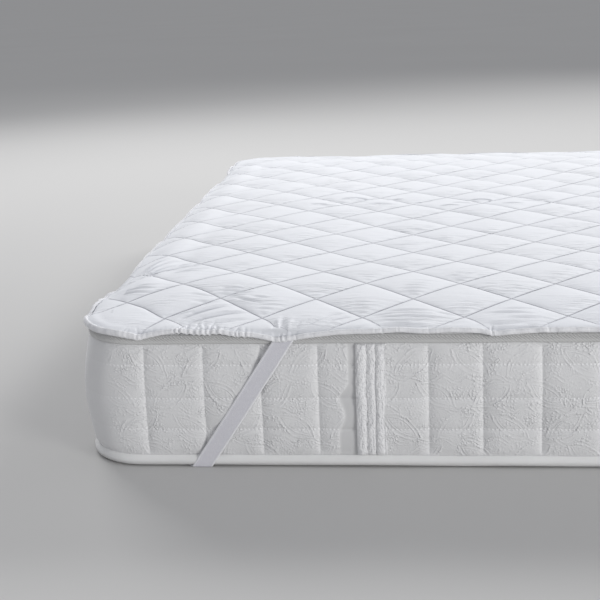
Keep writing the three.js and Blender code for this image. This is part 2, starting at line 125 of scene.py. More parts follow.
# ---------------------------------------------------------------- outline
class Outline:
    """A rounded rectangle, walked anticlockwise from the left end of its front side."""

    def __init__(self, half_x, half_y, radius):
        self.half_x, self.half_y, self.radius = half_x, half_y, radius
        self.arc = radius * math.pi / 2
        self.sides = [
            (np.array((1, 0)), np.array((0, -1)), half_x, half_y),
            (np.array((0, 1)), np.array((1, 0)), half_y, half_x),
            (np.array((-1, 0)), np.array((0, 1)), half_x, half_y),
            (np.array((0, -1)), np.array((-1, 0)), half_y, half_x),
        ]
        self.length = sum(2 * (reach - radius) + self.arc for _, _, reach, _ in self.sides)

    def starts(self):
        """Each side with the place where it starts and the length of its straight part."""
        start = 0
        for along, normal, reach, away in self.sides:
            straight = 2 * (reach - self.radius)
            yield start, straight, along, normal, reach, away
            start += straight + self.arc

    def at(self, place):
        """Points and outward normals at places on the outline, and how far they are from a corner."""
        place = np.mod(np.asarray(place, float), self.length)
        point, normal = np.zeros(place.shape + (2,)), np.zeros(place.shape + (2,))
        from_corner = np.zeros(place.shape)
        for start, straight, along, away_from, reach, away in self.starts():
            on = (place >= start) & (place < start + straight)
            step = (place[on] - start - straight / 2)[:, None]
            point[on] = along * step + away_from * away
            normal[on] = away_from
            from_corner[on] = reach + BULGE - np.abs(step[:, 0])
            on = (place >= start + straight) & (place < start + straight + self.arc)
            angle = (place[on] - start - straight) / self.radius
            turned = along * np.sin(angle)[:, None] + away_from * np.cos(angle)[:, None]
            centre = along * (reach - self.radius) + away_from * (away - self.radius)
            point[on] = centre + self.radius * turned
            normal[on] = turned
            share = angle / (math.pi / 2)
            from_corner[on] = self.radius + BULGE - np.minimum(share, 1 - share) * self.radius
        return point, normal, from_corner

    def nearest(self, x, y):
        """The place on the outline nearest to points inside it, and their inset."""
        points = np.stack([x, y], axis=-1)
        best, place = np.full(x.shape, np.inf), np.zeros(x.shape)
        for start, straight, along, normal, reach, away in self.starts():
            a, b = points @ along, points @ normal
            inset = np.where(np.abs(a) <= reach - self.radius, away - b, np.inf)
            on = inset < best
            best[on], place[on] = inset[on], (start + straight / 2 + a)[on]
            ca, cb = a - (reach - self.radius), b - (away - self.radius)
            inset = np.where((ca > 0) & (cb > 0), self.radius - np.hypot(ca, cb), np.inf)
            on = inset < best
            best[on] = inset[on]
            place[on] = (start + straight + self.radius * np.arctan2(ca, np.maximum(cb, 1e-9)))[on]
        return place, best

    def spaced(self, spacing):
        """Places round the outline, as far apart as spacing(place) says."""
        fine = np.linspace(0, self.length, 40001)
        density = 1 / spacing(fine)
        count = np.concatenate([[0], np.cumsum((density[1:] + density[:-1]) / 2 * np.diff(fine))])
        total = math.ceil(count[-1])
        return np.interp(np.arange(total) * count[-1] / total, count, fine)


SEAM = Outline(HALF_LENGTH - BULGE, HALF_WIDTH - BULGE, CORNER_RADIUS)


def wandering(place, height, size, seed):
    """Uneven waves round the outline that close on themselves."""
    point, _, _ = SEAM.at(place)
    return ripple(point[..., 0] - 1.7 * point[..., 1], height + 0.2 * point[..., 1], size, seed)


# ---------------------------------------------------------------- meshes
def make_piece(name, node, points, faces, uv):
    """A smooth-shaded mesh in a CAD node's place, from points and lists of triangles or quads."""
    mesh = bpy.data.meshes.new(name)
    groups = [np.asarray(group, np.int32).reshape(len(group), -1) for group in faces if len(group)]
    sizes = np.concatenate([np.full(len(group), group.shape[1], np.int32) for group in groups])
    corners = np.concatenate([group.ravel() for group in groups])
    mesh.vertices.add(len(points))
    mesh.vertices.foreach_set("co", np.asarray(points, np.float32).ravel())
    mesh.loops.add(len(corners))
    mesh.loops.foreach_set("vertex_index", corners)
    mesh.polygons.add(len(sizes))
    starts = np.concatenate([[0], np.cumsum(sizes)[:-1]]).astype(np.int32)
    mesh.polygons.foreach_set("loop_start", starts)
    mesh.polygons.foreach_set("use_smooth", np.ones(len(sizes), bool))
    mesh.update(calc_edges=True)
    mesh.validate()
    layer = mesh.uv_layers.new(name="cloth")
    # A face across the outline's start takes all its places from the end of the lap.
    spread = np.asarray(uv, float)[corners]
    furthest = np.repeat(np.maximum.reduceat(spread[:, 0], starts), sizes)
    spread[:, 0] += np.where(furthest - spread[:, 0] > SEAM.length / 2, SEAM.length, 0)
    layer.data.foreach_set("uv", spread.astype(np.float32).ravel())
    piece = bpy.data.objects.new(name, mesh)
    bpy.context.scene.collection.objects.link(piece)
    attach(piece, "root")
    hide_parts(node)
    return piece


def grid_faces(rows, columns, closed=False, first=0):
    """Quads over rings of points kept row by row; closed joins the last ring to the first."""
    i = np.arange(rows if closed else rows - 1)[:, None]
    j = np.arange(columns)[None, :]
    up, side = (i + 1) % rows, (j + 1) % columns
    quads = [i * columns + j, i * columns + side, up * columns + side, up * columns + j]
    return first + np.stack(np.broadcast_arrays(*quads), -1).reshape(-1, 4)


def pairs(u, v):
    """Cloth coordinates of a grid of points, as one list."""
    return np.stack(np.broadcast_arrays(u, v), -1).reshape(-1, 2)


def tube_faces(rows, columns, mirrored):
    """Quads round a tube of points kept row by row, with a flat face at each end."""
    first = np.arange(columns)[None]
    faces = [grid_faces(rows, columns), first[:, ::-1], first + (rows - 1) * columns]
    return [group[:, ::-1] for group in faces] if mirrored else faces


def zip_rings(lower, lower_place, upper, upper_place, lap):
    """Triangles between two rings that run the same way, by their places along the outline."""
    faces, a, b = [], 0, 0
    lower_next = np.append(lower_place[1:], lower_place[0] + lap)
    upper_next = np.append(upper_place[1:], upper_place[0] + lap)
    while a < len(lower) or b < len(upper):
        low, high = lower[a % len(lower)], upper[b % len(upper)]
        if b >= len(upper) or (a < len(lower) and lower_next[a] <= upper_next[b]):
            faces.append((low, lower[(a + 1) % len(lower)], high))
            a += 1
        else:
            faces.append((low, upper[(b + 1) % len(upper)], high))
            b += 1
    return faces


def fan(ring, centre, upwards):
    """Triangles from a ring of point numbers to one point in its middle."""
    after = np.roll(ring, -1)
    middle = np.full(len(ring), centre)
    return np.stack([ring, after, middle] if upwards else [after, ring, middle], -1)


def inner_ring(places, inset):
    """The outline's stations, moved further in than its corners are round."""
    small = 20 * MM
    ring = Outline(SEAM.half_x - inset, SEAM.half_y - inset, small)
    breaks = [[], []]
    for listed, outline in zip(breaks, (SEAM, ring)):
        for start, straight, *_ in outline.starts():
            listed += [start, start + straight]
        listed.append(outline.length)
    return ring.at(np.interp(places, *breaks) % ring.length)[0]


def metres(rows):
    return [(out * MM, height * MM) for out, height in rows]


def sweep_points(places, rows):
    """Points of a section carried round the outline: each row is (out, height), in metres."""
    point, normal, _ = SEAM.at(places)
    layers = []
    for out, height in rows:
        if np.ndim(out) == 0 and out < 20 * MM - CORNER_RADIUS:
            flat = inner_ring(places, -out)
        else:
            flat = point + normal * np.broadcast_to(out, places.shape)[:, None]
        layers.append(np.column_stack([flat, np.broadcast_to(height, places.shape)]))
    return np.array(layers)


def make_band(name, node, places, rows):
    """A closed section carried round the outline."""
    points = sweep_points(places, rows)
    steps = np.linalg.norm(np.diff(points, axis=0), axis=-1)
    across = np.concatenate([np.zeros((1, len(places))), np.cumsum(steps, axis=0)])
    faces = [grid_faces(len(rows), len(places), closed=True)]
    return make_piece(name, node, points.reshape(-1, 3), faces, pairs(places, across))


def corner_signs(name):
    """Which way along X and Y a piece's corner lies, by its name."""
    return -1 if name.endswith("left") else 1, -1 if "front" in name else 1


# ---------------------------------------------------------------- rim of the protector
# Drop of the rim below RIM_HEIGHT at distances from each corner, in millimetres: it is drawn
# in where elastic gathers it and dips where the straps are sewn on.
RIM_DROP = (
    (55, -1.6), (70, -2.2), (82, -0.6), (94, 3.2), (102, 5), (110, 3.2), (124, 0.2), (142, -3),
    (160, -4.3), (192, -1.6), (216, -2.8), (240, 1), (264, 2.2), (285, 6.4), (303, 9.8),
    (322, 7.2), (356, 2.3), (398, -1.4), (440, -2.2), (475, -4), (506, -1.6), (545, -3.3),
    (584, -1.8), (601, 2), (630, 0), (664, -2.1), (720, -2.8), (800, -0.5), (870, 0.8), (1000, -1),
)
# How much the rim is gathered at distances from each corner, and how far in the tufts reach.
GATHERING = (
    (55, 0.1), (72, 0.2), (95, 0.45), (112, 0.55), (135, 0.5), (152, 0.75), (165, 1), (206, 0.95),
    (216, 0.5), (230, 0.45), (240, 0.7), (254, 0.7), (264, 0.35), (288, 0.25), (300, 0.8),
    (310, 0.85), (325, 0.35), (350, 0.12), (420, 0.08), (1000, 0.06),
)
GATHER_REACH = (
    (100, 7), (150, 8), (165, 13), (182, 24), (208, 22), (218, 9), (240, 10), (256, 9),
    (270, 7), (290, 9), (303, 12), (320, 7), (1000, 5),
)
# Nicks in the front rim, where a fold or a line of stitches ends: from the left end, and depth.
NICKS = ((449, 0.4), (471, 0.3), (513, 0.35), (601, 0.9), (678, 0.45), (752, 0.3), (820, 0.35))


def rim_drop(from_corner):
    return table(RIM_DROP, from_corner) * MM


def gather_troughs():
    """Creases between the tufts of the gathered rim, 4 to 10 mm apart: place, half width, depth
    as a share, lean, and how far in each reaches."""
    random = np.random.default_rng(5)
    rows, place = [], 0.0
    while place < SEAM.length - 9 * MM:
        place += random.uniform(3.6, 10.4) * MM
        _, _, from_corner = SEAM.at(place)
        depth = float(table(GATHERING, from_corner)) * random.uniform(0.1, 1.25)
        reach = float(table(GATHER_REACH, from_corner)) * random.uniform(0.45, 1.45) * MM
        rows.append((place, random.uniform(1.1, 2.5) * MM, depth, random.uniform(-0.5, 0.5), reach))
    for from_left, depth in NICKS:
        rows.append((from_left * MM - BULGE - CORNER_RADIUS, 1.5 * MM, depth, 0.1, 7 * MM))
    return np.array(sorted(rows))


TROUGHS = gather_troughs()


def gathers(place, inset):
    """Rise and fall of the gathered rim between about -1 and 0.6, fading inwards."""
    place = np.mod(place, SEAM.length)
    inset = np.maximum(inset, 0)
    first = np.searchsorted(TROUGHS[:, 0], place)
    total = np.zeros(np.shape(place))
    for step in (-2, -1, 0, 1):
        spot, half, depth, lean, reach = TROUGHS[(first + step) % len(TROUGHS)].T
        away = place - spot - lean * inset
        trough = 0.35 - np.exp(-((away / half) ** 2))
        near = np.exp(-((away / (6 * MM)) ** 4))
        total = total + depth * trough * near * np.exp(-((inset / reach) ** 2))
    return total


def rim_spacing(place):
    """Closer stations where the rim is gathered, and closest on the near left part of the front."""
    point, _, from_corner = SEAM.at(place)
    gathered = smooth_step(table(GATHERING, from_corner), 0.06, 0.4)
    x, y = point[..., 0], point[..., 1]
    hidden = np.where(x < -0.9, 6, 12 - 7 * gathered)
    nicked = np.zeros(np.shape(x), bool)
    for from_left, _ in NICKS:
        nicked |= np.abs(x + HALF_LENGTH - from_left * MM) < 3.5 * MM
    shown = np.where(nicked, 1.2, 3.2 - 2.0 * gathered)
    return np.where((y < -0.74) & (x < 0.2), shown, hidden) * MM


RIM_PLACES = SEAM.spaced(rim_spacing)


# Folded strip over the panel's edge: out from the seam line, height above the rim, and the share
# of the rim's drop that each point takes.
BINDING = (
    (4.2, 6.6, 0.8), (4.6, 7.7, 0.85), (5.4, 8.6, 0.95), (6.6, 9, 1), (7.9, 8.7, 1), (9, 7.8, 1),
    (9.8, 6.3, 1), (10, 4.7, 1), (9.7, 3.2, 1), (8.9, 2.1, 1), (7.2, 1.5, 1), (5.2, 1.7, 1),
    (3.9, 2.5, 1), (3.4, 3.2, 1), (4.4, 3.5, 1), (6.2, 3.2, 1), (7.8, 3.9, 1), (8.4, 5, 1),
    (7.6, 6, 1), (5.9, 6.2, 0.9),
)
# The point of that section that it grows from where it is fuller.
BINDING_ROOT = (6, 7)
# On the two ends the binding lies lower, and stands out near the corners and in further along.
END_SINK = 5 * MM
END_SWELL = (
    (20, -3.4), (46, -3.4), (82, -1), (100, 1.2), (130, 1.8), (180, 0.6), (212, -0.6),
    (238, -4.2), (262, -3.4), (300, -2), (400, -1.2), (600, -0.6), (1000, -0.6),
)


def end_share(normal, from_corner):
    """1 along the two ends, 0 along the sides and at the corners."""
    return normal[..., 0] ** 2 * smooth_step(from_corner, 90 * MM, 235 * MM)


def corner_share(from_corner):
    """1 at the corners, 0 from a little way along each side."""
    return smooth_step(118 * MM - from_corner, 0, 40 * MM)


def rim_swell(place):
    """How much further out the rim stands on the ends of the bed."""
    _, normal, from_corner = SEAM.at(place)
    beside = smooth_step(np.abs(normal[..., 0]), 0, 1)
    return table(END_SWELL, from_corner) * MM * beside


# ---------------------------------------------------------------- quilted panel
# Diamond quilting, in millimetres: half the distance between stitch crossings, and the first
# crossing's place from the mattress's left end and from its front side.
HALF_DIAMOND, FIRST_FROM_LEFT, FIRST_FROM_FRONT = 73, 127, 52
DIAMOND = 2 * HALF_DIAMOND * MM
FIRST_X = -HALF_LENGTH + FIRST_FROM_LEFT * MM
FIRST_Y = -HALF_WIDTH + FIRST_FROM_FRONT * MM
LOFT = 4.8 * MM
# In millimetres: tufts of the gathered rim, the fuller rim at a corner and how much more of it
# there is on the ends, and the slow rise and fall of the whole top.
TUFT_HEIGHT, SIDE_FILL, END_FILL, UNEVEN = 2.6, 1.6, 1.2, 0.6
# Depth of the listed creases, and of the wrinkles in each diamond, for 1 in their tables.
CREASE_GAIN, WRINKLE_GAIN = 1.75, 1.55
# Height of the stitched lines by their inset from the seam line, in millimetres, along the
# sides and at the two ends, where the edge is rounder.
STITCHED = (
    (-5.5, 202.2), (-3, 203.8), (0, 205.4), (8, 207.3), (20, 208.2), (44, 209), (80, 211.4),
    (100, 212.6), (117, 213.6), (190, 216), (260, 216.4), (336, 215.6), (410, 214.2),
    (480, 213.4), (560, 213), (800, 213),
)
END_STITCHED = (
    (-5.5, 199.4), (-3, 201), (0, 202.8), (8, 205.4), (20, 208.4), (35, 211.2), (50, 212.8),
    (75, 213.4), (100, 212.6),
)
# The cloth stands higher over the near left part: by distance from the left end and from the
# front, as shares of CROWN.
CROWN = 8 * MM
CROWN_ALONG = ((0, 0), (25, 0.25), (60, 0.72), (110, 1), (190, 0.95), (330, 0.6), (500, 0.35), (800, 0))
CROWN_ACROSS = (
    (35, 0), (55, 0.15), (90, 0.42), (130, 0.72), (200, 1), (270, 0.85), (400, 0.5), (800, 0.3),
    (1600, 0.3),
)
# Share of the rim's drop that the cloth follows, and of its loft, by inset in millimetres.
FOLLOW = ((-6, 1), (-4, 0.8), (0, 0.45), (6, 0.28), (16, 0.12), (34, 0), (800, 0))
PUFF = ((-6, 0), (-2, 0.03), (4, 0.22), (14, 0.55), (32, 0.92), (60, 1), (800, 1))

# Creases listed one by one: middle from the left end and from the front, direction in degrees,
# length, bend, half width and depth before CREASE_GAIN, all lengths in millimetres. A negative
# depth is a ridge.
CREASES = (
    # folds that fan out from the first crossing over the gathered rim
    (172, 98, 42, 70, -5, 4.4, 0.9), (184, 73, 38, 112, -8, 5.4, 2.3), (197, 50, 31, 104, -7, 5.4, 2.2),
    (223, 35, 21, 84, -4, 4.8, 1.6), (233, 66, 12, 60, -3, 4, 1.0),
    # beside the next crossings
    (150, 66, 12, 56, -3, 3.2, 1.1), (180, 108, -2, 50, -3, 3.4, 1.2), (170, 132, -3, 60, -3, 3.4, 1.2),
    (214, 164, -3, 46, -3, 3, 1.4), (222, 153, 0, 50, -3, 3, 1.4), (226, 142, 5, 52, -3, 3, 1.5),
    (224, 131, 9, 40, -2, 2.8, 1.2), (244, 110, -27, 58, 2, 3.4, 1.5), (262, 120, -20, 50, 2, 3.2, 1.1),
    # drawn towards the strap
    (306, 24, 92, 70, 1, 4.2, 1.3), (316, 22, 82, 60, 0, 4, -0.6), (326, 14, 64, 50, 2, 3.2, 1.0),
    (296, 18, 106, 50, -2, 3.2, 1.0), (334, 18, 56, 48, 3, 3, 0.8),
    (371, 8, 38, 88, 4, 3.6, 2.1), (388, 44, 33, 62, -3, 3.2, 1.5), (385, 61, 30, 54, -3, 3.2, 1.4),
    (388, 1, 32, 62, 3, 3.2, 1.6), (409, 8, 27, 48, 2, 3, 1.4), (352, 30, 44, 60, 3, 3.2, 1.1),
    # long ripples beside the rim, further along
    (484, 72, 1, 92, -5, 3.6, 1.4), (488, 58, -1, 104, -5, 3.2, 0.8), (490, 46, -4, 120, -6, 4.2, 2.0),
    (487, 33, -2, 128, -5, 4.2, 2.1), (476, 16, -2, 104, -4, 4.2, 1.7), (500, 3, 0, 84, -2, 3, 1.0),
    (452, 60, 12, 56, -3, 3.2, 1.0), (540, 60, -13, 44, -2, 3.0, 1.0), (540, 22, 3, 70, -2, 3.2, 1.0),
    (640, 74, 1, 60, -3, 3.2, 1.0), (628, 58, -4, 84, -4, 3.4, 1.3), (646, 38, 3, 96, -3, 3.6, 1.4),
    (621, 22, -2, 80, -2, 3.4, 1.4), (662, 10, 4, 70, -2, 3.0, 1.1), (597, 17, 12, 54, -2, 3.0, 1.1),
    (780, 62, 2, 70, -3, 3.6, 1.0), (792, 42, -3, 84, -3, 3.8, 1.2), (772, 22, 3, 80, -2, 3.6, 1.2),
    # fan from the left edge
    (44, 322, 76, 150, -5, 2.8, 1.7), (56, 318, 68, 136, -6, 2.8, 2.1), (50, 345, 72, 110, -4, 2.6, 1.5),
    (66, 300, 58, 112, -6, 3, 2.2), (79, 292, 48, 114, -7, 3, 2.3), (93, 297, 34, 120, -8, 3.2, 2.5),
    (112, 308, 20, 112, -7, 3.2, 2.0), (38, 300, 80, 120, -3, 2.4, 1.2), (72, 340, 56, 90, -4, 2.6, 1.6),
    (100, 335, 40, 80, -4, 2.6, 1.4), (132, 290, 12, 80, -4, 3, 1.6), (118, 274, 8, 70, -3, 3, 1.2),
    # arched creases over the line next to the left edge
    (58, 177, 2, 72, -6, 3.6, 1.7), (52, 162, -6, 82, -5, 3.4, 1.3), (68, 191, 8, 66, -4, 3, 1.1),
    # short arcs in a row across the middle, where the mattress below has a hollow
    (366, 906, 4, 84, -9, 3.6, 3.6), (293, 836, -1, 52, -5, 3.2, 2.4), (511, 868, 8, 50, -5, 3.2, 2.4),
    (568, 824, 6, 54, -5, 3.2, 2.6), (644, 883, -6, 82, -9, 3.4, 3.0), (764, 862, -9, 98, -9, 3.4, 2.6),
    (420, 846, 3, 66, -6, 3.4, 1.9), (700, 838, -3, 58, -6, 3.2, 1.8), (455, 902, 2, 46, -4, 3.0, 1.6),
    (637, 562, 1, 30, -4, 3.2, 2.4), (330, 872, 2, 60, -5, 3.2, 1.6), (596, 850, 0, 60, -6, 3.2, 1.6),
)

CELLS_PER_HALF = 28
FINEST = DIAMOND / 2 / CELLS_PER_HALF
RING_START = 30 * MM


# Where gathers and straps pull the cloth along the rim: middle from the left end, half width and
# pull, in millimetres, fading out at the first row of crossings.
PULLS = ((100, 50, 26), (324, 38, -14), (471, 40, -13), (617, 42, -14))


def pulled(x, y):
    """How far the cloth at a place is pulled along the front rim."""
    from_left, from_front = (x + HALF_LENGTH) / MM, (y + HALF_WIDTH) / MM
    pull = np.zeros(np.shape(x))
    for middle, half, far in PULLS:
        pull = pull + far * np.exp(-(((from_left - middle) / half) ** 4))
    return pull * MM * np.clip((57 - from_front) / 53, 0, 1)


def lattice(x, y):
    """Quilting coordinates: whole numbers on the two families of stitched lines."""
    u = ((x - FIRST_X) + (y - FIRST_Y)) / DIAMOND
    v = ((x - FIRST_X) - (y - FIRST_Y)) / DIAMOND
    return u, v


def from_stitches(x, y):
    """Distance to the nearer line of each family of stitched lines."""
    return [(1 - np.abs(2 * (value % 1) - 1)) * DIAMOND / 2 * HALF_ROOT for value in lattice(x, y)]


def quilt_share(x, y):
    """Share of the loft: 0 on the stitched lines, about 1 in the middle of a diamond."""
    u, v = lattice(x, y)
    share = np.ones(np.shape(x))
    for away in from_stitches(x, y):
        part = 1 - away / (DIAMOND / 2 * HALF_ROOT)
        share = share * (0.45 + 0.55 * (1 - part**2)) * (1 - np.exp(-away / (4.6 * MM)))
    # Each diamond is filled a little differently.
    uneven = np.sin(12.9898 * np.floor(u) + 78.233 * np.floor(v)) * 43758.5453
    return share * (0.9 + 0.22 * (uneven - np.floor(uneven)))


def diamond_creases():
    """Short arched wrinkles near the front corner of each diamond, each of its own size."""
    random = np.random.default_rng(8)
    rows = []
    for along, across in itertools.product(range(1, 12), range(1, 9)):
        if (along + across) % 2 == 0:
            continue
        x, y = FIRST_FROM_LEFT + HALF_DIAMOND * along, FIRST_FROM_FRONT + HALF_DIAMOND * across
        depth = random.uniform(0.6, 1.5)
        for k in range(random.integers(3, 7)):
            back = -58 + 11.5 * k + random.uniform(-3, 3)
            room = HALF_DIAMOND - abs(back)
            length = min(2 * room, 74) * random.uniform(0.55, 1.05)
            shift = random.uniform(-0.3, 0.3) * room
            turn = random.uniform(-7, 7) - 12 * shift / HALF_DIAMOND
            width = random.uniform(2.3, 3.4)
            rows.append((x + shift, y + back, turn, length, -4, width, depth * (1 - 0.1 * k)))
    return rows


def crease_depth(x, y, rows):
    """Depth of creases: a soft trough with a low swell on each side, that fades at its ends."""
    depth = np.zeros(np.shape(x))
    for from_left, from_front, turn, length, bend, width, deep in rows:
        dx = (x + HALF_LENGTH) / MM - from_left
        dy = (y + HALF_WIDTH) / MM - from_front
        near = np.nonzero(np.hypot(dx, dy) < length / 2 + 4 * width)
        angle = math.radians(turn)
        along = dx[near] * math.cos(angle) + dy[near] * math.sin(angle)
        across = dy[near] * math.cos(angle) - dx[near] * math.sin(angle)
        share = np.clip(2 * along / length, -1, 1)
        across = (across - bend * share**2) / width
        trough = (1 - 0.75 * across**2) * np.exp(-0.5 * across**2)
        depth[near] += deep * trough * (1 - share**2) ** 1.5
    return depth * MM


DIAMOND_CREASES = diamond_creases()


def panel_height(x, y, cloth_x, place, inset):
    """Height of the panel's upper face; cloth_x is where the cloth lay before it was pulled."""
    _, normal, from_corner = SEAM.at(place)
    to_end = end_share(normal, from_corner) * (1 - smooth_step(inset, 60 * MM, 99 * MM))
    side, end = table(STITCHED, inset), table(END_STITCHED, inset)
    height = (side + (end - side) * to_end) * MM
    height = height - rim_drop(from_corner) * table(FOLLOW, inset)
    along, across = table(CROWN_ALONG, x + HALF_LENGTH), table(CROWN_ACROSS, y + HALF_WIDTH)
    height = height + CROWN * along * across
    height = height + LOFT * quilt_share(cloth_x, y) * table(PUFF, inset)
    height = height + gathers(place, inset) * TUFT_HEIGHT * MM
    filled = corner_share(from_corner) * (1 - smooth_step(inset, 0, 16 * MM))
    height = height + (SIDE_FILL + END_FILL * normal[..., 0] ** 2) * MM * filled
    held = smooth_step(np.minimum(*from_stitches(cloth_x, y)), 0, 8 * MM)
    shown = smooth_step(inset, -5 * MM, 6 * MM)
    height = height - CREASE_GAIN * crease_depth(x, y, CREASES) * shown * (0.25 + 0.75 * held)
    height = height - WRINKLE_GAIN * crease_depth(x, y, DIAMOND_CREASES) * shown * held
    return height + ripple(x, y, 0.24, 11) * UNEVEN * MM * smooth_step(inset, 0, 60 * MM)


class QuiltGrid:
    """Square cells of three sizes that follow the stitched lines, finest where the photo is near."""

    # Patches of smaller cells: their size, and the patch's range from the left and the front.
    PATCHES = (
        (2, -0.05, 0.95, -0.05, 0.6), (2, 0.19, 0.88, 0.6, 0.99), (1, -0.05, 0.67, -0.05, 0.26),
        (1, -0.05, 0.16, -0.05, 0.42), (1, 0.25, 0.82, 0.79, 0.93),
    )

    def __init__(self):
        self.left = -math.ceil((FIRST_X + SEAM.half_x) / FINEST / 4) * 4
        self.front = -math.ceil((FIRST_Y + SEAM.half_y) / FINEST / 4) * 4
        self.columns = math.ceil((SEAM.half_x - FIRST_X) / FINEST / 4) * 4 - self.left
        self.rows = math.ceil((SEAM.half_y - FIRST_Y) / FINEST / 4) * 4 - self.front
        self.used = np.zeros((self.columns + 1, self.rows + 1), bool)
        self.triangles = []

    def x_of(self, i):
        return FIRST_X + (i + self.left) * FINEST

    def y_of(self, j):
        return FIRST_Y + (j + self.front) * FINEST

    def number(self, i, j):
        return i * (self.rows + 1) + j

    def cells(self, size):
        """Lower left corners of the cells of one size that lie inside the panel's edge rings."""
        i, j = np.mgrid[0 : self.columns : size, 0 : self.rows : size].reshape(2, -1)
        from_left = self.x_of(i // 4 * 4) + HALF_LENGTH
        from_front = self.y_of(j // 4 * 4) + HALF_WIDTH
        level = np.full(i.shape, 4)
        for finer, x_low, x_high, y_low, y_high in self.PATCHES:
            near = (x_low <= from_left) & (from_left < x_high)
            level[near & (y_low <= from_front) & (from_front < y_high)] = finer
        keep = level == size
        for di, dj in itertools.product((0, size), repeat=2):
            _, inset = SEAM.nearest(self.x_of(i + di), self.y_of(j + dj))
            keep &= inset > RING_START + 2.6 * MM
        return i[keep], j[keep]

    def build(self):
        found = {size: self.cells(size) for size in (1, 2, 4)}
        for size, (i, j) in found.items():
            for di, dj in itertools.product((0, size), repeat=2):
                self.used[i + di, j + dj] = True
        for size, (i, j) in found.items():
            self.add_cells(i, j, size)
        triangles = np.concatenate(self.triangles)
        numbers, index = np.unique(triangles, return_inverse=True)
        i, j = np.divmod(numbers, self.rows + 1)
        return self.x_of(i), self.y_of(j), index.reshape(-1, 3)

    def add_cells(self, i, j, size):
        """Two triangles for each cell, or a fan where it meets smaller cells."""
        half = size // 2
        if half:
            middles = ((half, 0), (size, half), (half, size), (0, half))
            hanging = np.stack([self.used[i + di, j + dj] for di, dj in middles], -1)
        else:
            hanging = np.zeros((len(i), 4), bool)
        plain = ~hanging.any(-1)
        a, b = i[plain], j[plain]
        # The cut runs along the nearer family of stitched lines.
        whole = 2 * CELLS_PER_HALF
        centre_i, centre_j = a + self.left + size / 2, b + self.front + size / 2
        to_falling = np.abs((centre_i + centre_j + whole / 2) % whole - whole / 2)
        to_rising = np.abs((centre_i - centre_j + whole / 2) % whole - whole / 2)
        rising = (to_rising <= to_falling)[:, None]
        c0, c1 = self.number(a, b), self.number(a + size, b)
        c2, c3 = self.number(a + size, b + size), self.number(a, b + size)
        first = np.where(rising, np.stack([c0, c1, c2], -1), np.stack([c0, c1, c3], -1))
        second = np.where(rising, np.stack([c0, c2, c3], -1), np.stack([c1, c2, c3], -1))
        self.triangles += [first, second]
        fans = []
        for ci, cj, mids in zip(i[~plain], j[~plain], hanging[~plain]):
            ring = []
            steps = ((0, 0), (size, 0), (size, size), (0, size))
            for (di, dj), (mi, mj), is_there in zip(steps, middles, mids):
                ring.append(self.number(ci + di, cj + dj))
                if is_there:
                    ring.append(self.number(ci + mi, cj + mj))
            centre = self.number(ci + half, cj + half)
            fans += [(centre, p, q) for p, q in zip(ring, ring[1:] + ring[:1])]
        if fans:
            self.triangles.append(np.array(fans))


def boundary_loop(triangles):
    """The outer edge of a sheet of triangles as point numbers, anticlockwise."""
    edges = np.concatenate([triangles[:, [0, 1]], triangles[:, [1, 2]], triangles[:, [2, 0]]])
    there = set(map(tuple, edges.tolist()))
    after = {a: b for a, b in there if (b, a) not in there}
    loop = [min(after)]
    while after[loop[-1]] != loop[0]:
        loop.append(after[loop[-1]])
    return np.array(loop)


# The panel's edge: rings inwards of the rim, then the edge inside the binding and the underside.
EDGE_INSETS = (30, 24.5, 19.5, 15, 11, 7.4, 4.2, 1.4, -1.2, -3.4, -5)
TUCKED = ((6.8, 202.6), (6.4, 201.4), (4.6, 201.8))
UNDERSIDE = ((-2, 205.2), (-14, 206.4), (-60, 208.6))
PANEL_BED = 208.8


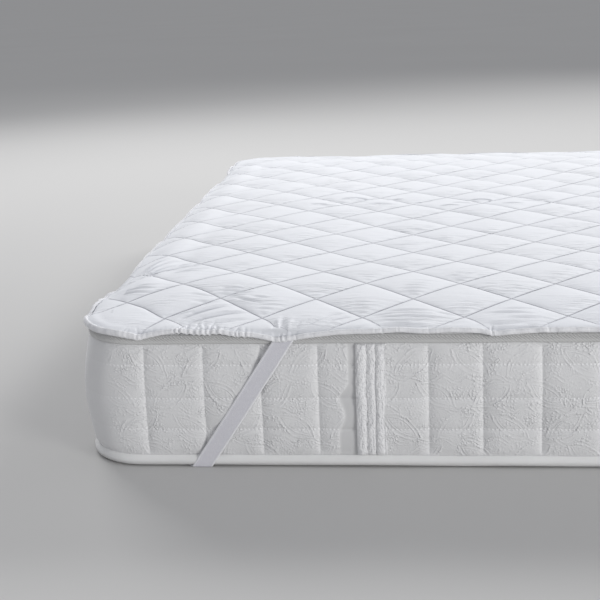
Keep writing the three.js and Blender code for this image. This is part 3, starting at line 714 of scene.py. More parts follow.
def make_panel():
    cloth_x, y, triangles = QuiltGrid().build()
    x = cloth_x + pulled(cloth_x, y)
    place, inset = SEAM.nearest(x, y)
    top = np.column_stack([x, y, panel_height(x, y, cloth_x, place, inset)])
    cloth = [np.column_stack([cloth_x, y])]
    loop = boundary_loop(triangles)
    loop = np.roll(loop, -np.argmin(place[loop]))
    loop_place = np.maximum.accumulate(place[loop])

    point, normal, from_corner = SEAM.at(RIM_PLACES)
    drop = rim_drop(from_corner) + END_SINK * end_share(normal, from_corner)
    gather = gathers(RIM_PLACES, 0)
    swell = rim_swell(RIM_PLACES)
    layers = []
    for depth in EDGE_INSETS:
        moved = swell * smooth_step(30 - depth, 0, 32)
        flat = point + normal * (moved - depth * MM)[:, None]
        x, y = flat.T
        # Where the cloth lay before it was pulled to x, closed in on by steps.
        before = x - pulled(x, y)
        for _ in range(24):
            before = x - pulled(before, y)
        height = panel_height(x, y, before, RIM_PLACES, np.full(len(x), depth * MM))
        layers.append(np.column_stack([flat, height]))
        cloth.append(np.column_stack([before, y]))
    tucked = [((out + 0.5 * gather) * MM + swell, height * MM - drop) for out, height in TUCKED]
    rings = np.concatenate([layers, sweep_points(RIM_PLACES, tucked)])
    # The underside is flat and hidden, so it needs only one station in four.
    few = RIM_PLACES[::4]
    hidden = sweep_points(few, metres(UNDERSIDE))

    count, first = len(RIM_PLACES), len(top)
    outer = np.arange(count) + first
    faces = [triangles]
    faces.append(zip_rings(outer, RIM_PLACES, loop, loop_place, SEAM.length))
    faces.append(grid_faces(len(rings), count, first=first)[:, ::-1])
    last = outer + (len(rings) - 1) * count
    below = first + len(rings) * count
    faces.append(zip_rings(np.arange(len(few)) + below, few, last, RIM_PLACES, SEAM.length))
    faces.append(grid_faces(len(hidden), len(few), first=below)[:, ::-1])
    middle = below + hidden.shape[0] * len(few)
    faces.append(fan(np.arange(len(few)) + middle - len(few), middle, upwards=False))
    centre = [[0, 0, PANEL_BED * MM]]
    points = np.concatenate([top, rings.reshape(-1, 3), hidden.reshape(-1, 3), centre])
    cloth = np.concatenate(cloth)
    uv = np.concatenate([cloth, points[len(cloth):, :2]])
    return make_piece("quilted_panel", "protector_panel", points, faces, uv)


# ---------------------------------------------------------------- binding
def make_binding():
    _, normal, from_corner = SEAM.at(RIM_PLACES)
    gather = gathers(RIM_PLACES, 0)
    drop = rim_drop(from_corner)
    swell = rim_swell(RIM_PLACES)
    sunk = END_SINK * end_share(normal, from_corner)
    fuller = 1 + 0.35 * corner_share(from_corner)
    uneven = wandering(RIM_PLACES, 0, 0.019, 3) * 0.5
    root_out, root_rise = BINDING_ROOT
    rows = []
    for out, rise, follow in BINDING:
        outwards = out - root_out
        width = root_out + outwards * np.sqrt(fuller)
        width = width + (gather * 1.9 + uneven) * (0.3 + max(0, outwards / 4))
        height = root_rise + (rise - root_rise) * fuller
        height = height + gather * (2.1 - 0.1 * (rise - 5)) + uneven * 0.6
        rows.append((width * MM + swell, RIM_HEIGHT + height * MM - drop * follow - sunk))
    return make_band("edge_binding", "protector_binding", RIM_PLACES, rows)


# ---------------------------------------------------------------- mattress
# Border by height: how far its face stands out from the seam line. The seam bands that the
# tapes cover are upright, and the top edge is rounded. The two ends bulge more. Below, a margin
# is raised off the floor to leave room for the straps.
BORDER = (
    (17, 0.6), (21, 2.2), (35, 4.6), (65, 7), (100, 8), (135, 7), (165, 4), (186, 0),
)
BORDER_FOOT, BORDER_HEAD = 17 * MM, 186 * MM
END_BULGE = 5 * MM
# Height of the pillows between upright lines and between level lines.
UPRIGHT_PUFF, LEVEL_PUFF = 4.8 * MM, 1.9 * MM
BASE_ROWS = ((-160, 0), (-130, 1.9), (-14, 1.9), (-5, 2.4), (-1, 4.2), (0, 8), (0, 16))
TOP_ROWS = ((0, 187), (0, 196), (-1, 199.5), (-5, 202), (-13, 203.9), (-30, 205.6), (-60, 207.4))
# Upright quilting lines by distance from the corner, in millimetres. The long sides leave
# room for a handle, with a plain hollow on its outer side.
LONG_LINES = (105, 191, 274, 356, 512, 588, 670, 752, 834, 917, 1001)
SHORT_LINES = tuple(103 + 82 * k for k in range(9))
# The hollow starts at HOLLOW_START and ends at HOLLOW_END; its start is further in by HUMP_REACH
# at HUMP and by UPPER_REACH above UPPER, by height.
HOLLOW_START, HOLLOW_END, HOLLOW_DEPTH = 384, 414, 1.7 * MM
HUMP, HUMP_HALF, HUMP_REACH = 80, 32, 9
UPPER, UPPER_FULL, UPPER_REACH = 102, 130, 15
# Stations beside an upright line, in millimetres: where the photo shows it, and elsewhere.
BESIDE_SHOWN = (-6, -3.8, -2.3, -1.2, -0.4, 0.3, 1.3, 3, 5.6, 9, 13)
BESIDE_HIDDEN = (-5, -2, -0.4, 1, 4, 10)
LEVEL_LINES = (17, 59, 106, 155, 187)


def border_heights():
    """Rows up the border, closer beside the level quilting lines."""
    rows = [18.0]
    while rows[-1] < 186:
        since = min(abs(rows[-1] + 1.5 - line) for line in LEVEL_LINES)
        rows.append(rows[-1] + (1.8 if since < 6 else 4.0))
    return np.array(rows[:-1] + [186.0]) * MM


def upright_spots():
    """Places of the upright quilting lines round the outline."""
    spots = []
    for start, straight, _, _, reach, _ in SEAM.starts():
        lines = LONG_LINES if reach > SEAM.half_y else SHORT_LINES
        size = (reach + BULGE) / MM
        for spot in sorted({*lines, *(2 * size - line for line in lines)}):
            spots.append(start + (spot - size) * MM + straight / 2)
    return np.sort(np.mod(spots, SEAM.length))


UPRIGHT_SPOTS = upright_spots()


def beside_spots(place):
    """Distance along the outline since the last upright line, and to the next one."""
    place = np.mod(place, SEAM.length)
    before, after = UPRIGHT_SPOTS[-1:] - SEAM.length, UPRIGHT_SPOTS[:1] + SEAM.length
    spots = np.concatenate([before, UPRIGHT_SPOTS, after])
    last = np.searchsorted(spots, place, side="right") - 1
    return place - spots[last], spots[last + 1] - place


def border_places():
    """Stations round the border, close together at the upright quilting lines."""

    def shown(place):
        x, y = SEAM.at(np.array([place]))[0][0]
        return y < -0.7 and x < 0.15

    hollow = np.arange(HOLLOW_START - 4, HOLLOW_END - 1, 1.7)
    places = [hollow * MM - BULGE - CORNER_RADIUS]
    for spot in UPRIGHT_SPOTS:
        places.append(spot + np.array(BESIDE_SHOWN if shown(spot) else BESIDE_HIDDEN) * MM)
    beside = np.sort(np.mod(np.concatenate(places), SEAM.length))
    for start, end in zip(beside, np.append(beside[1:], beside[0] + SEAM.length)):
        more = int((end - start) / ((4.6 if shown(start) else 11.5) * MM))
        places.append(start + (end - start) * np.arange(1, more + 1) / (more + 1))
    return np.sort(np.mod(np.concatenate(places), SEAM.length))


def hollow_edge(height):
    """Where the hollow beside a handle starts at some heights, in millimetres from the corner."""
    height = height / MM
    hump = 1 - smooth_step(np.abs(height - HUMP), 0, HUMP_HALF)
    return HOLLOW_START + HUMP_REACH * hump + UPPER_REACH * smooth_step(height, UPPER, UPPER_FULL)


def level_share(height):
    """Puff of the border by height: 0 on its level quilting lines."""
    lines = np.array(LEVEL_LINES) * MM
    below = np.clip(np.searchsorted(lines, height) - 1, 0, len(lines) - 2)
    since, until = height - lines[below], lines[below + 1] - height
    return (1 - np.exp(-since / (5 * MM))) * (1 - np.exp(-until / (3.5 * MM)))


def end_bulge(height):
    """How much further out the border stands on the two ends, by height."""
    rise = np.clip((height - BORDER_FOOT) / (BORDER_HEAD - BORDER_FOOT), 0, 1)
    return END_BULGE * np.sin(math.pi * rise)


def border_out(place, height):
    """How far the border stands out from the seam line, pillows included."""
    _, normal, from_corner = SEAM.at(place)
    profile = table(BORDER, height) * MM + end_bulge(height) * normal[..., 0] ** 2
    ends = smooth_step(np.minimum(height - BORDER_FOOT, BORDER_HEAD - height), 0, 9 * MM)
    since, until = beside_spots(place)
    upright = (1 - np.exp(-since / (11 * MM))) * (1 - np.exp(-until / (6 * MM)))
    level = level_share(height)
    plain = smooth_step(from_corner, 80 * MM, 104 * MM)
    pillow = UPRIGHT_PUFF * (upright - 0.7) + LEVEL_PUFF * (level - 0.7) * (0.25 + 0.75 * plain)
    edge = hollow_edge(height)
    hollow = smooth_step(from_corner / MM, edge - 3.5, edge + 3) * normal[..., 1] ** 2
    hollow = hollow * (1 - smooth_step(from_corner / MM, HOLLOW_END, HOLLOW_END + 8))
    uneven = 0.6 * MM * wandering(place, height, 0.09, 5)
    return profile + (pillow + uneven - HOLLOW_DEPTH * hollow) * ends


def make_mattress():
    places = border_places()
    rows = metres(BASE_ROWS)
    for height in border_heights():
        rows.append((border_out(places, np.full(places.shape, height)), height))
    rows += metres(TOP_ROWS)
    points = sweep_points(places, rows)
    count = len(places)
    flat = points.reshape(-1, 3)
    ends = [[0, 0, BASE_ROWS[0][1] * MM], [0, 0, TOP_ROWS[-1][1] * MM]]
    faces = [grid_faces(len(rows), count)]
    faces.append(fan(np.arange(count), len(flat), upwards=False))
    faces.append(fan(np.arange(count) + len(flat) - count, len(flat) + 1, upwards=True))
    uv = np.concatenate([pairs(places, points[..., 2]), [[0, 0], [0, 0]]])
    points = np.concatenate([flat, ends])
    return make_piece("quilted_mattress", "mattress_body", points, faces, uv)


# ---------------------------------------------------------------- tapes
# Sections of the two tapes: out from the seam line, and height.
TAPES = {
    "mattress_tape_bottom": (
        (0.4, 4), (1.6, 2.8), (3.2, 2.9), (4.8, 4.2), (5.9, 6.4), (6.2, 9.2), (5.7, 12.4),
        (4.5, 15.2), (2.9, 17.2), (1.5, 18.2), (0.4, 17.6),
    ),
    "mattress_tape_top": (
        (0.4, 187), (1.5, 186), (2.3, 187.2), (2.8, 189.4), (2.9, 192.4), (2.6, 195.4),
        (2, 198), (1.2, 199.2), (0.4, 199),
    ),
}
# Two greys, the ribs' pitch, and the line along the tape where they are clearest, with its half
# width. The top tape's greys are darker than the bottom tape's as painted shade under the binding.
TAPE_LOOKS_AND_SHADE = {
    "mattress_tape_bottom": (0.82, 0.88, 4, 7.5, 4.5),
    "mattress_tape_top": (0.58, 0.65, 5.2, 10.5, 5),
}


def make_tape(node, section):
    places = SEAM.spaced(lambda place: np.full(np.shape(place), 8 * MM))
    wave = wandering(places, 0, 0.13, 21) * 0.7 * MM
    rows = []
    for out, height in section:
        rows.append((out * MM + wave * min(1, out / 2), height * MM + wave * 0.8))
    return make_band(node.replace("mattress", "edge"), node, places, rows)


# ---------------------------------------------------------------- straps
STRAP_WIDTH = 25 * MM
STRAP_THICKNESS = 1.2 * MM
# The strap's middle is STRAP_FOOT from the corner at the floor, and STRAP_TOP from it at the
# height STRAP_HEAD.
STRAP_TOP, STRAP_FOOT, STRAP_HEAD = 306 * MM, 182 * MM, 187.6 * MM
STRAP_SLOPE = (STRAP_TOP - STRAP_FOOT) / STRAP_HEAD
# Heights where it starts under the rim, where it turns under the corner, and of its outer face
# below.
STRAP_START, STRAP_TURN, STRAP_UNDER = 196 * MM, 1.6 * MM, 0.7 * MM
# How far its inner face stands out from the seam line, by height.
STRAP_ROUTE = (
    (1, 4.6), (5, 5.6), (16, 6.0), (35, 7.4), (65, 9.4), (100, 10.4), (135, 9.4), (165, 6.9),
    (187.6, 4.6), (196, 3.6),
)


def strap_rows(corner_x, corner_y):
    """Rows from the rim of the long side, down, under the corner and up to the short side's rim.

    A row is its two ends on the strap's outer face and the direction that face looks in."""
    rows = []
    half_span = STRAP_WIDTH / 2 * math.hypot(1, STRAP_SLOPE)
    heights = np.linspace(STRAP_START, STRAP_TURN, 66)

    def on_side(height, long_side):
        middle = STRAP_FOOT + STRAP_SLOPE * height
        out = float(table(STRAP_ROUTE, np.array([height]))[0]) * MM + STRAP_THICKNESS
        ends = []
        for share in (-1, 1):
            step = middle + share * half_span
            if long_side:
                x, y = HALF_LENGTH - step, SEAM.half_y + out
            else:
                x, y = SEAM.half_x + out + end_bulge(height), HALF_WIDTH - step
            ends.append(np.array((corner_x * x, corner_y * y, height)))
        facing = (0, corner_y, 0) if long_side else (corner_x, 0, 0)
        return ends[0], ends[1], np.array(facing, float)

    rows += [on_side(height, True) for height in heights]
    start, end = on_side(heights[-1], True), on_side(heights[-1], False)
    down = np.array((0, 0, -1.0))
    for share in np.linspace(0, 1, 14):
        near = start[0] + (end[0] - start[0]) * share
        far = start[1] + (end[1] - start[1]) * share
        near[2] = far[2] = STRAP_UNDER
        rows.append((near, far, down))
    rows += [on_side(height, False) for height in heights[::-1]]
    return rows


def make_strap(name):
    corner_x, corner_y = corner_signs(name)
    rows = strap_rows(corner_x, corner_y)
    half = (0.25, 0.5, 0.74, 0.8, 0.86, 0.92, 0.97, 1)
    across = np.array((*(-share for share in half[::-1]), 0, *half))
    edge = np.clip((1 - np.abs(across)) / 0.06, 0, 1) ** 0.5
    # Its woven edges are a little thicker.
    raised = 0.4 * MM * np.exp(-(((np.abs(across) - 0.86) / 0.05) ** 2))
    points, uv, run = [], [], 0
    middle_before = None
    for near, far, facing in rows:
        middle = (near + far) / 2
        if middle_before is not None:
            run += np.linalg.norm(middle - middle_before)
        middle_before = middle
        outer = near + (far - near) * ((across + 1) / 2)[:, None]
        swell = raised * (1 - abs(facing[2])) - (1 - edge) * STRAP_THICKNESS / 2
        outer = outer + facing * swell[:, None]
        inner = near + (far - near) * ((across[::-1] + 1) / 2)[:, None]
        inner = inner - facing * (STRAP_THICKNESS * (0.5 + edge[::-1] / 2))[:, None]
        points += [outer, inner]
        sides = np.concatenate([across, across[::-1]]) * STRAP_WIDTH / 2
        uv.append(np.column_stack([sides, np.full(sides.shape, run)]))
    faces = tube_faces(len(rows), 2 * len(across), corner_x * corner_y < 0)
    return make_piece(
        name.replace("corner_strap", "elastic_strap"), name,
        np.concatenate(points), faces, np.concatenate(uv),
    )


# ---------------------------------------------------------------- handles
HANDLE_FROM_END = 431 * MM
HANDLE_HALF = 21.5 * MM
# Heights of the strip's two ends, in millimetres.
HANDLE_FOOT, HANDLE_HEAD = 18.4, 185.4
# Rolls across the strip: middle and half width as shares of its half width, and crest height in
# millimetres. Between them the strip is flat. It is thin at its ends, and its back lies inside
# the border.
HANDLE_ROLLS = ((-0.66, 0.35, 3.2), (-0.01, 0.29, 2.6), (0.58, 0.29, 3.0), (0.93, 0.07, 1.0))
HANDLE_FLAT, HANDLE_ENDS, HANDLE_BACK = 1.7 * MM, 0.6 * MM, 2.4 * MM


def make_handle(name):
    side_x, side_y = corner_signs(name)
    across = np.linspace(-1, 1, 57)
    heights = np.linspace(HANDLE_FOOT, HANDLE_HEAD, 84) * MM
    grid_a, grid_h = np.meshgrid(across, heights)
    seed = 31 + side_x + 3 * side_y
    sway = 0.035 * ripple(grid_h, grid_h * 0, 0.06, seed + 1)
    sway = sway + 0.022 * ripple(grid_h, grid_a, 0.013, seed + 2)
    rise = np.full(grid_a.shape, HANDLE_FLAT)
    lumps = ripple(grid_a * 0.022, grid_h, 0.0085, seed, terms=11) * 0.42 * MM
    lumps = lumps + ripple(grid_a * 0.022, grid_h, 0.024, seed + 7) * 0.4 * MM
    for middle, half, crest in HANDLE_ROLLS:
        part = np.clip(np.abs(grid_a + sway - middle) / half, 0, 1)
        rise = rise + (crest * MM + lumps) * np.sqrt(1 - part**2) ** 1.2
    ends = smooth_step(heights, heights[0], heights[0] + 3 * MM)
    ends = ends * smooth_step(heights[-1] - heights, 0, 3 * MM)
    rise = HANDLE_ENDS + (rise - HANDLE_ENDS) * ends[:, None]
    base = table(BORDER, grid_h) * MM
    x = side_x * (HALF_LENGTH - HANDLE_FROM_END) + grid_a * HANDLE_HALF
    outer = np.stack([x, side_y * (SEAM.half_y + base + rise), grid_h], -1)
    inner = np.stack([x, side_y * (SEAM.half_y + base - HANDLE_BACK), grid_h], -1)
    rows, columns = outer.shape[:2]
    points = np.concatenate([outer, inner[:, ::-1]], axis=1)
    faces = tube_faces(rows, 2 * columns, side_y > 0)
    width = np.concatenate([across, across[::-1] + 2.2]) * HANDLE_HALF
    return make_piece(
        name.replace("mattress_handle", "side_handle"), name,
        points.reshape(-1, 3), faces, pairs(width, heights[:, None]),
    )


# ---------------------------------------------------------------- materials
def arithmetic(operation, swapped=False):
    """A method of Wire that adds a Math node."""

    def method(wire, other):
        a, b = (other, wire) if swapped else (wire, other)
        return wire.nodes.math(operation, a, b)

    return method


class Wire:
    """A node's output. Arithmetic on it adds further nodes."""

    def __init__(self, nodes, socket):
        self.nodes, self.socket = nodes, socket

    def __abs__(self):
        return self.nodes.math("ABSOLUTE", self)

    __add__ = __radd__ = arithmetic("ADD")
    __sub__ = arithmetic("SUBTRACT")
    __rsub__ = arithmetic("SUBTRACT", swapped=True)
    __mul__ = __rmul__ = arithmetic("MULTIPLY")
    __truediv__ = arithmetic("DIVIDE")


class Nodes:
    """A material's node tree with short ways to add the nodes used here.

    `place` is a point of the piece, and `cloth`, `u` and `v` its place on the cloth."""

    def __init__(self, name):
        self.material = bpy.data.materials.new(name)
        self.material.use_nodes = True
        self.tree = self.material.node_tree
        self.place = self.node("TexCoord", {}, "Object")
        self.cloth = self.node("TexCoord", {}, "UV")
        self.u, self.v, _ = self.split(self.cloth)

    def put(self, socket, value):
        if isinstance(value, Wire):
            self.tree.links.new(value.socket, socket)
        else:
            socket.default_value = value

    def node(self, kind, inputs, output, **settings):
        """One output of a new node, given its inputs by name or number."""
        made = self.tree.nodes.new("ShaderNode" + kind)
        for key, value in settings.items():
            setattr(made, key, value)
        for key, value in inputs.items():
            self.put(made.inputs[key], value)
        return Wire(self, made.outputs[output])

    def math(self, operation, a, b=0.0, c=0.0):
        return self.node("Math", {0: a, 1: b, 2: c}, 0, operation=operation)

    def wave(self, value, pitch):
        """A sine wave along a coordinate."""
        return self.math("SINE", value * (2 * math.pi / pitch))

    def weave(self, pitch):
        """Height of a plain weave, its threads over and under each other."""
        return self.wave(self.u, pitch) * self.wave(self.v, pitch)

    def split(self, vector):
        first = self.node("SeparateXYZ", {0: vector}, 0)
        return [Wire(self, socket) for socket in first.socket.node.outputs]

    def noise(self, vector, scale, detail=2.0, roughness=0.5, output="Fac"):
        """Soft noise; three scales stretch it."""
        if isinstance(scale, tuple):
            vector, scale = self.node("Mapping", {"Vector": vector, "Scale": scale}, 0), 1.0
        inputs = {"Vector": vector, "Scale": scale, "Detail": detail, "Roughness": roughness}
        return self.node("TexNoise", inputs, output)

    def warped(self, vector, scale, amount):
        """The vector, moved about by up to about that amount."""
        noise = self.noise(vector, scale, detail=1.0, output="Color")
        inputs = {0: noise, 1: (amount, amount, 0), 2: vector}
        return self.node("VectorMath", inputs, 0, operation="MULTIPLY_ADD")

    def cells(self, vector, scale):
        """Distance from the middle of the nearest of some uneven cells."""
        inputs = {"Vector": vector, "Scale": scale}
        return self.node("TexVoronoi", inputs, "Distance", voronoi_dimensions="2D", feature="F1")

    def ramp(self, value, low, high, to_low=0.0, to_high=1.0):
        inputs = {0: value, 1: low, 2: high, 3: to_low, 4: to_high}
        return self.node("MapRange", inputs, 0, interpolation_type="SMOOTHSTEP")

    def hill(self, value, middle, half):
        """1 where the value is at the middle, falling to 0 at half to either side."""
        return self.ramp(abs(value - middle), 0.0, half, 1.0, 0.0)

    def tints(self, color, *layers):
        """A colour with others laid over it, each after the share of it that shows."""
        color = (*color, 1)
        for share, over in layers:
            color = self.node("Mix", {0: share, 6: color, 7: (*over, 1)}, 2, data_type="RGBA")
        return color

    def bumps(self, *layers):
        """Normals bumped by layers of height, distance and strength, one over the other."""
        before = {}
        for height, distance, strength in layers:
            inputs = {"Height": height, "Distance": distance, "Strength": strength, **before}
            before = {"Normal": self.node("Bump", inputs, 0)}
        return before["Normal"]

    def finish(self, color, normal, roughness, sheen=0.15, sheen_roughness=0.5, specular=0.25):
        inputs = {
            "Base Color": color, "Normal": normal, "Roughness": roughness, "Sheen Weight": sheen,
            "Sheen Roughness": sheen_roughness, "Specular IOR Level": specular,
        }
        for key, value in inputs.items():
            self.put(self.tree.nodes["Principled BSDF"].inputs[key], value)
        return self.material


def quilt_material():
    """White microfibre: fine weave, stitched lines darkened with painted groove shade, small wrinkles
    towards each diamond's front.
    """
    n = Nodes("white microfibre")
    from_x, from_y = n.u - FIRST_X, n.v - FIRST_Y
    rising, falling = from_x + from_y, from_x - from_y
    lines = []
    for across, along in ((rising, falling), (falling, rising)):
        away = n.math("PINGPONG", across, DIAMOND / 2) * HALF_ROOT
        stitch = n.wave(along, 3.6 * MM / HALF_ROOT) * 0.22 + 0.78
        thread_and_crease_shade = n.ramp(away, 0.2 * MM, 1.3 * MM, 1.0, 0.0) * stitch
        lines.append((thread_and_crease_shade, n.ramp(away, 0.4 * MM, 3.8 * MM, 1.0, 0.0)))
    # The lines sink from sight where the cloth rolls over at the rim.
    to_side = n.ramp(abs(n.v), HALF_WIDTH - 36 * MM, HALF_WIDTH - 4 * MM, 1.0, 0.3)
    stitch_and_crease_shade, groove_shade = (n.math("MAXIMUM", a, b) * to_side for a, b in zip(*lines))
    # From -1 at a diamond's front corner to 1 at its back corner.
    back = n.math("FRACT", rising / DIAMOND) - n.math("FRACT", falling / DIAMOND)
    front = n.ramp(back, -0.45, 0.5, 1.0, 0.12)
    patches = n.ramp(n.noise(n.place, 9, detail=1), 0.36, 0.64, 0.12, 1.15)
    strokes = n.noise(n.warped(n.place, 11, 0.012), (15, 118, 20), roughness=0.55)
    wrinkles = abs(strokes * 2 - 1) * front * patches
    normal = n.bumps(
        (n.weave(0.9 * MM), 0.05 * MM, 0.5),
        (n.noise(n.place, (14, 30, 20)), 3.0 * MM, 0.6),
        (wrinkles, 3.2 * MM, 1.0),
        (stitch_and_crease_shade * -1, 1.1 * MM, 1.0),
    )
    # Painted shade: the colour darkens in a halo a few millimetres wide round each stitched line, where
    # its groove is shaded, and most in the line's core, the thread together with its painted crease
    # shade.
    color = n.tints(
        (0.81, 0.825, 0.865), (n.noise(n.place, 2.3), (0.85, 0.86, 0.885)),
        (groove_shade * 0.3, (0.5, 0.51, 0.56)), (stitch_and_crease_shade * 0.85, (0.32, 0.32, 0.37)),
    )
    return n.finish(color, normal, 0.78, sheen=0.2)


def binding_material():
    """Woven binding with a row of stitches and fine puckers."""
    n = Nodes("woven binding")
    puckers = n.noise(n.place, (260, 260, 110), roughness=0.6)
    seam = n.hill(n.v, 3.4 * MM, 0.9 * MM) * n.ramp(n.wave(n.u, 4.2 * MM), -0.3, 0.3)
    ribs = n.wave(n.u, 1.5 * MM)
    normal = n.bumps((ribs, 0.1 * MM, 0.6), (puckers, 1.5 * MM, 0.8), (seam, 0.5 * MM, 0.8))
    color = n.tints(
        (0.8, 0.805, 0.83), (n.noise(n.place, 90), (0.91, 0.91, 0.925)),
        (seam * 0.5, (0.95, 0.95, 0.96)),
    )
    return n.finish(color, normal, 0.8)


def elastic_material():
    """Ribbed elastic: fine ribs along the strap, crossed by short rows of yarn."""
    n = Nodes("ribbed elastic")
    specks = n.noise(n.place, (500, 500, 240), roughness=0.6)
    rows = n.wave(n.v, 1.3 * MM) + specks
    normal = n.bumps((n.wave(n.u, 1.7 * MM), 0.2 * MM, 0.8), (rows, 0.14 * MM, 0.7))
    bright = (0.9, 0.9, 0.93)
    color = n.tints(
        (0.75, 0.745, 0.8), (n.noise(n.place, 25), (0.79, 0.785, 0.835)),
        (n.ramp(specks, 0.45, 0.7) * 0.3, bright),
        (n.ramp(abs(n.u), 9.6 * MM, 10.6 * MM), bright),
    )
    return n.finish(color, normal, 0.6, sheen=0.1)


def in_hollow_with_shade(n, x, z):
    """1 in the plain hollows beside the handles, as hollow_edge has them. The ticking is darkened there
    as painted shade of the handles.
    """
    height = z / MM
    edge = n.hill(height, HUMP, HUMP_HALF) * HUMP_REACH + HOLLOW_START
    edge = edge + n.ramp(height, UPPER, UPPER_FULL) * UPPER_REACH
    from_end = (HALF_LENGTH - abs(x)) / MM
    inside = n.ramp(from_end - edge, -1.5, 1.5)
    return inside * n.ramp(from_end, HOLLOW_END + 2, HOLLOW_END + 6, 1.0, 0.0)


def ticking_material():
    """Jacquard knit: rows of slanting leaves on a pebbled ground, with wavy stems between the
    rows and level quilting seams. It is plain where it is stretched round the corners, and plain
    and darkened with painted shade in the hollows beside the handles."""
    n = Nodes("jacquard ticking")
    x, y, z = n.split(n.place)
    du, dv, _ = n.split(n.warped(n.cloth, 22, 0.011))
    tile_u, tile_v = 76 * MM, 47 * MM
    up = dv / tile_v
    row = n.math("FLOOR", up)
    along = du / tile_u + row * 0.37
    # Leaves lean to the right and to the left by turns.
    side = n.math("PINGPONG", n.math("FLOOR", along) + row, 1.0) * 2 - 1
    a = (n.math("FRACT", along) - 0.5) * tile_u
    b = (n.math("FRACT", up) - 0.5) * tile_v * side
    length = a * 0.82 + b * 0.57
    width = abs(b * 0.82 - a * 0.57)
    leaf = width / (15 * MM) + n.math("POWER", abs(length / (32 * MM)), 2.0)
    outline = n.math("MAXIMUM", n.hill(leaf, 1.0, 0.17), n.hill(leaf, 0.6, 0.13) * 0.8)
    inside = n.ramp(leaf, 0.4, 0.5, 1.0, 0.0)
    veins = n.ramp(n.wave(length + width * 0.8, 6.5 * MM), 0.1, 0.9) * inside
    stems = n.hill(n.math("PINGPONG", n.wave(du, 0.5 * tile_u) * 0.1 + up, 0.5), 0.06, 0.045)
    pebbles = n.ramp(n.cells(n.warped(n.cloth, 150, 0.004), 235), 0.1, 0.5, 1.0, 0.0)
    pebbles = pebbles * n.ramp(n.noise(n.cloth, 48, detail=1), 0.4, 0.54)
    pebbles = pebbles * n.ramp(leaf, 0.75, 0.95, 0.25, 1.0)
    specks = n.ramp(n.noise(n.cloth, 620, detail=1), 0.6, 0.72)
    relief = outline * 0.8 + veins * 0.3 + inside * 0.35
    relief = relief + stems * 0.6 * n.ramp(leaf, 1.1, 1.25)
    relief = relief + n.math("MAXIMUM", pebbles, specks) * 0.9
    # The knit is worn softer in places, and plain where it is stretched.
    plain = n.ramp(abs(x), 0.925, 0.965) * n.ramp(abs(y), 0.715, 0.765)
    hollow = in_hollow_with_shade(n, x, z) * n.ramp(abs(y), 0.75, 0.76)
    shown = 1 - n.math("MAXIMUM", plain * 0.93, hollow)
    worn = n.ramp(n.noise(n.cloth, 17, detail=1), 0.35, 0.6, 0.55, 1.05)
    broken = n.ramp(n.noise(n.cloth, 75), 0.36, 0.6, 0.4, 1.1)
    relief = relief * shown * worn * broken
    seam = n.hill(n.v, LEVEL_LINES[1] * MM, 1.9 * MM)
    for line in LEVEL_LINES[2:-1]:
        seam = n.math("MAXIMUM", seam, n.hill(n.v, line * MM, 1.9 * MM))
    seam = seam * n.ramp(n.wave(n.u, 5.6 * MM), -0.4, 0.5) * shown
    normal = n.bumps(
        (n.weave(1.3 * MM), 0.07 * MM, 0.6), (relief, 0.9 * MM, 0.9), (seam, 0.6 * MM, 0.8)
    )
    # Painted shade: the plain hollow beside each handle is darkened where the handle's shade falls.
    color = n.tints(
        (0.75, 0.75, 0.755), (n.noise(n.place, 6), (0.8, 0.8, 0.805)),
        (relief * 0.26, (0.97, 0.97, 0.98)), (seam * 0.9, (0.98, 0.98, 0.99)),
        (hollow * 0.5, (0.56, 0.56, 0.56)),
    )
    return n.finish(color, normal, 0.6, sheen=0.25, sheen_roughness=0.35)


def grey(level):
    return (level, level, level - 0.005)


def tape_material(low, high, pitch, ribbed, half):
    """Twill tape between two greys, darker on the top tape as painted shade under the binding: slanting
    ribs, clearest round one line along it.
    """
    n = Nodes("twill tape")
    slant = n.u + n.v * 1.3 + n.noise(n.place, 60) * (2.5 * MM)
    clear = n.hill(n.v, ribbed * MM, half * MM) * 0.85 + 0.15
    ribs = n.ramp(n.wave(slant, pitch * MM), -0.3, 0.7) * clear
    ribs = ribs * n.ramp(n.noise(n.place, 90), 0.3, 0.6, 0.5, 1.0)
    normal = n.bumps((ribs, 1.5 * MM, 1.0), (n.noise(n.place, 170), 0.8 * MM, 0.6))
    # The top tape's darker greys are painted shade under the binding. Where the ribs are clearest the
    # colour is darker too.
    color = n.tints(
        grey(low), (n.noise(n.place, 12), grey(high)), (clear * 0.6, grey(low - 0.14)),
        (ribs, grey(high + 0.08)),
    )
    return n.finish(color, normal, 0.65)


def handle_material():
    """Looped padded strip: coarse uneven loops along its rolls."""
    n = Nodes("padded strip")
    loops = n.noise(n.place, (300, 300, 150), detail=3, roughness=0.62)
    grains = n.ramp(n.cells(n.warped(n.cloth, 200, 0.002), 360), 0.05, 0.6, 1.0, 0.0)
    normal = n.bumps((grains, 0.5 * MM, 0.8), (loops, 2.1 * MM, 1.0))
    color = n.tints(
        (0.83, 0.83, 0.84), (n.noise(n.place, 70), (0.87, 0.87, 0.88)),
        (n.ramp(loops, 0.5, 0.7) * 0.5, (0.79, 0.79, 0.8)),
    )
    return n.finish(color, normal, 0.65)


def floor_material():
    n = Nodes("pale floor")
    color = n.tints((0.6, 0.595, 0.585), (n.noise(n.place, 0.6), (0.63, 0.625, 0.615)))
    normal = n.bumps((n.noise(n.place, 60), 0.2 * MM, 0.3))
    return n.finish(color, normal, 1.0, sheen=0.0, specular=0.0)


def dress(piece, material):
    piece.data.materials.clear()
    piece.data.materials.append(material)


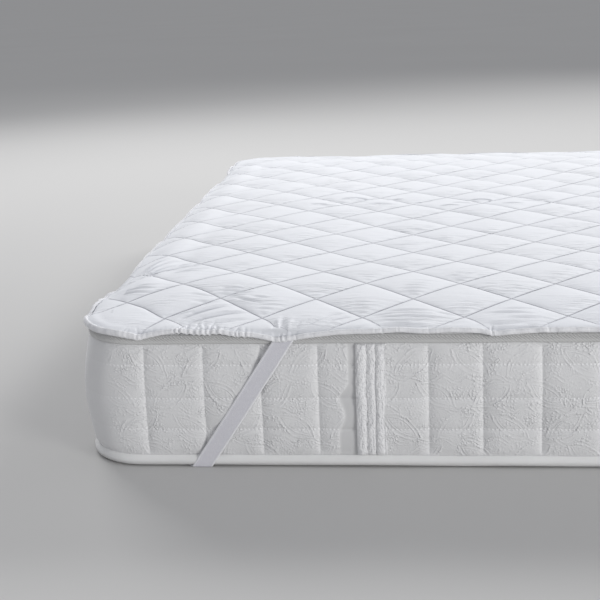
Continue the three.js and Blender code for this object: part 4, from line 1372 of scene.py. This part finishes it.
# ---------------------------------------------------------------- surroundings
def make_floor():
    size = 400.0
    points = [(-size, -size, 0), (size, -size, 0), (size, size, 0), (-size, size, 0)]
    mesh = bpy.data.meshes.new("floor")
    mesh.from_pydata(points, [], [(0, 1, 2, 3)])
    floor = bpy.data.objects.new("floor", mesh)
    bpy.context.scene.collection.objects.link(floor)
    dress(floor, floor_material())


def area_light(name, place, target, size, power, color, spread):
    data = bpy.data.lights.new(name, "AREA")
    data.shape = "RECTANGLE"
    data.size, data.size_y = size
    data.energy = power
    data.spread = math.radians(spread)
    data.color = color
    light = bpy.data.objects.new(name, data)
    light.location = place
    light.rotation_euler = (Vector(target) - Vector(place)).to_track_quat("-Z", "Y").to_euler()
    bpy.context.scene.collection.objects.link(light)


def make_light():
    white, warm = (1.0, 1.0, 1.0), (1.0, 0.995, 0.985)
    area_light("window", (3.4, 5.9, 4.2), (-0.8, 0.5, 0.1), (3.6, 2.4), 66, white, 75)
    area_light("window left", (-3.8, 4.0, 3.4), (-0.7, 0.5, 0.1), (2.4, 1.8), 28, white, 75)
    area_light("side", (5.4, -5.1, 1.3), (-0.25, -0.8, 0.1), (2.4, 1.6), 30, warm, 60)
    world = bpy.data.worlds.new("soft room")
    world.use_nodes = True
    background = world.node_tree.nodes["Background"]
    background.inputs["Color"].default_value = (0.94, 0.955, 1.0, 1)
    background.inputs["Strength"].default_value = 0.47
    bpy.context.scene.world = world
    bpy.context.scene.view_settings.view_transform = "Standard"


# ---------------------------------------------------------------- the whole
def main():
    panel = make_panel()
    dress(panel, quilt_material())
    binding = make_binding()
    dress(binding, binding_material())
    dress(make_mattress(), ticking_material())
    for node, section in TAPES.items():
        dress(make_tape(node, section), tape_material(*TAPE_LOOKS_AND_SHADE[node]))
    elastic, strip = elastic_material(), handle_material()
    straps = []
    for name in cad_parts:
        if name.startswith("corner_strap"):
            straps.append(make_strap(name))
            dress(straps[-1], elastic)
        elif name.startswith("mattress_handle"):
            dress(make_handle(name), strip)
    make_floor()
    make_light()


main()
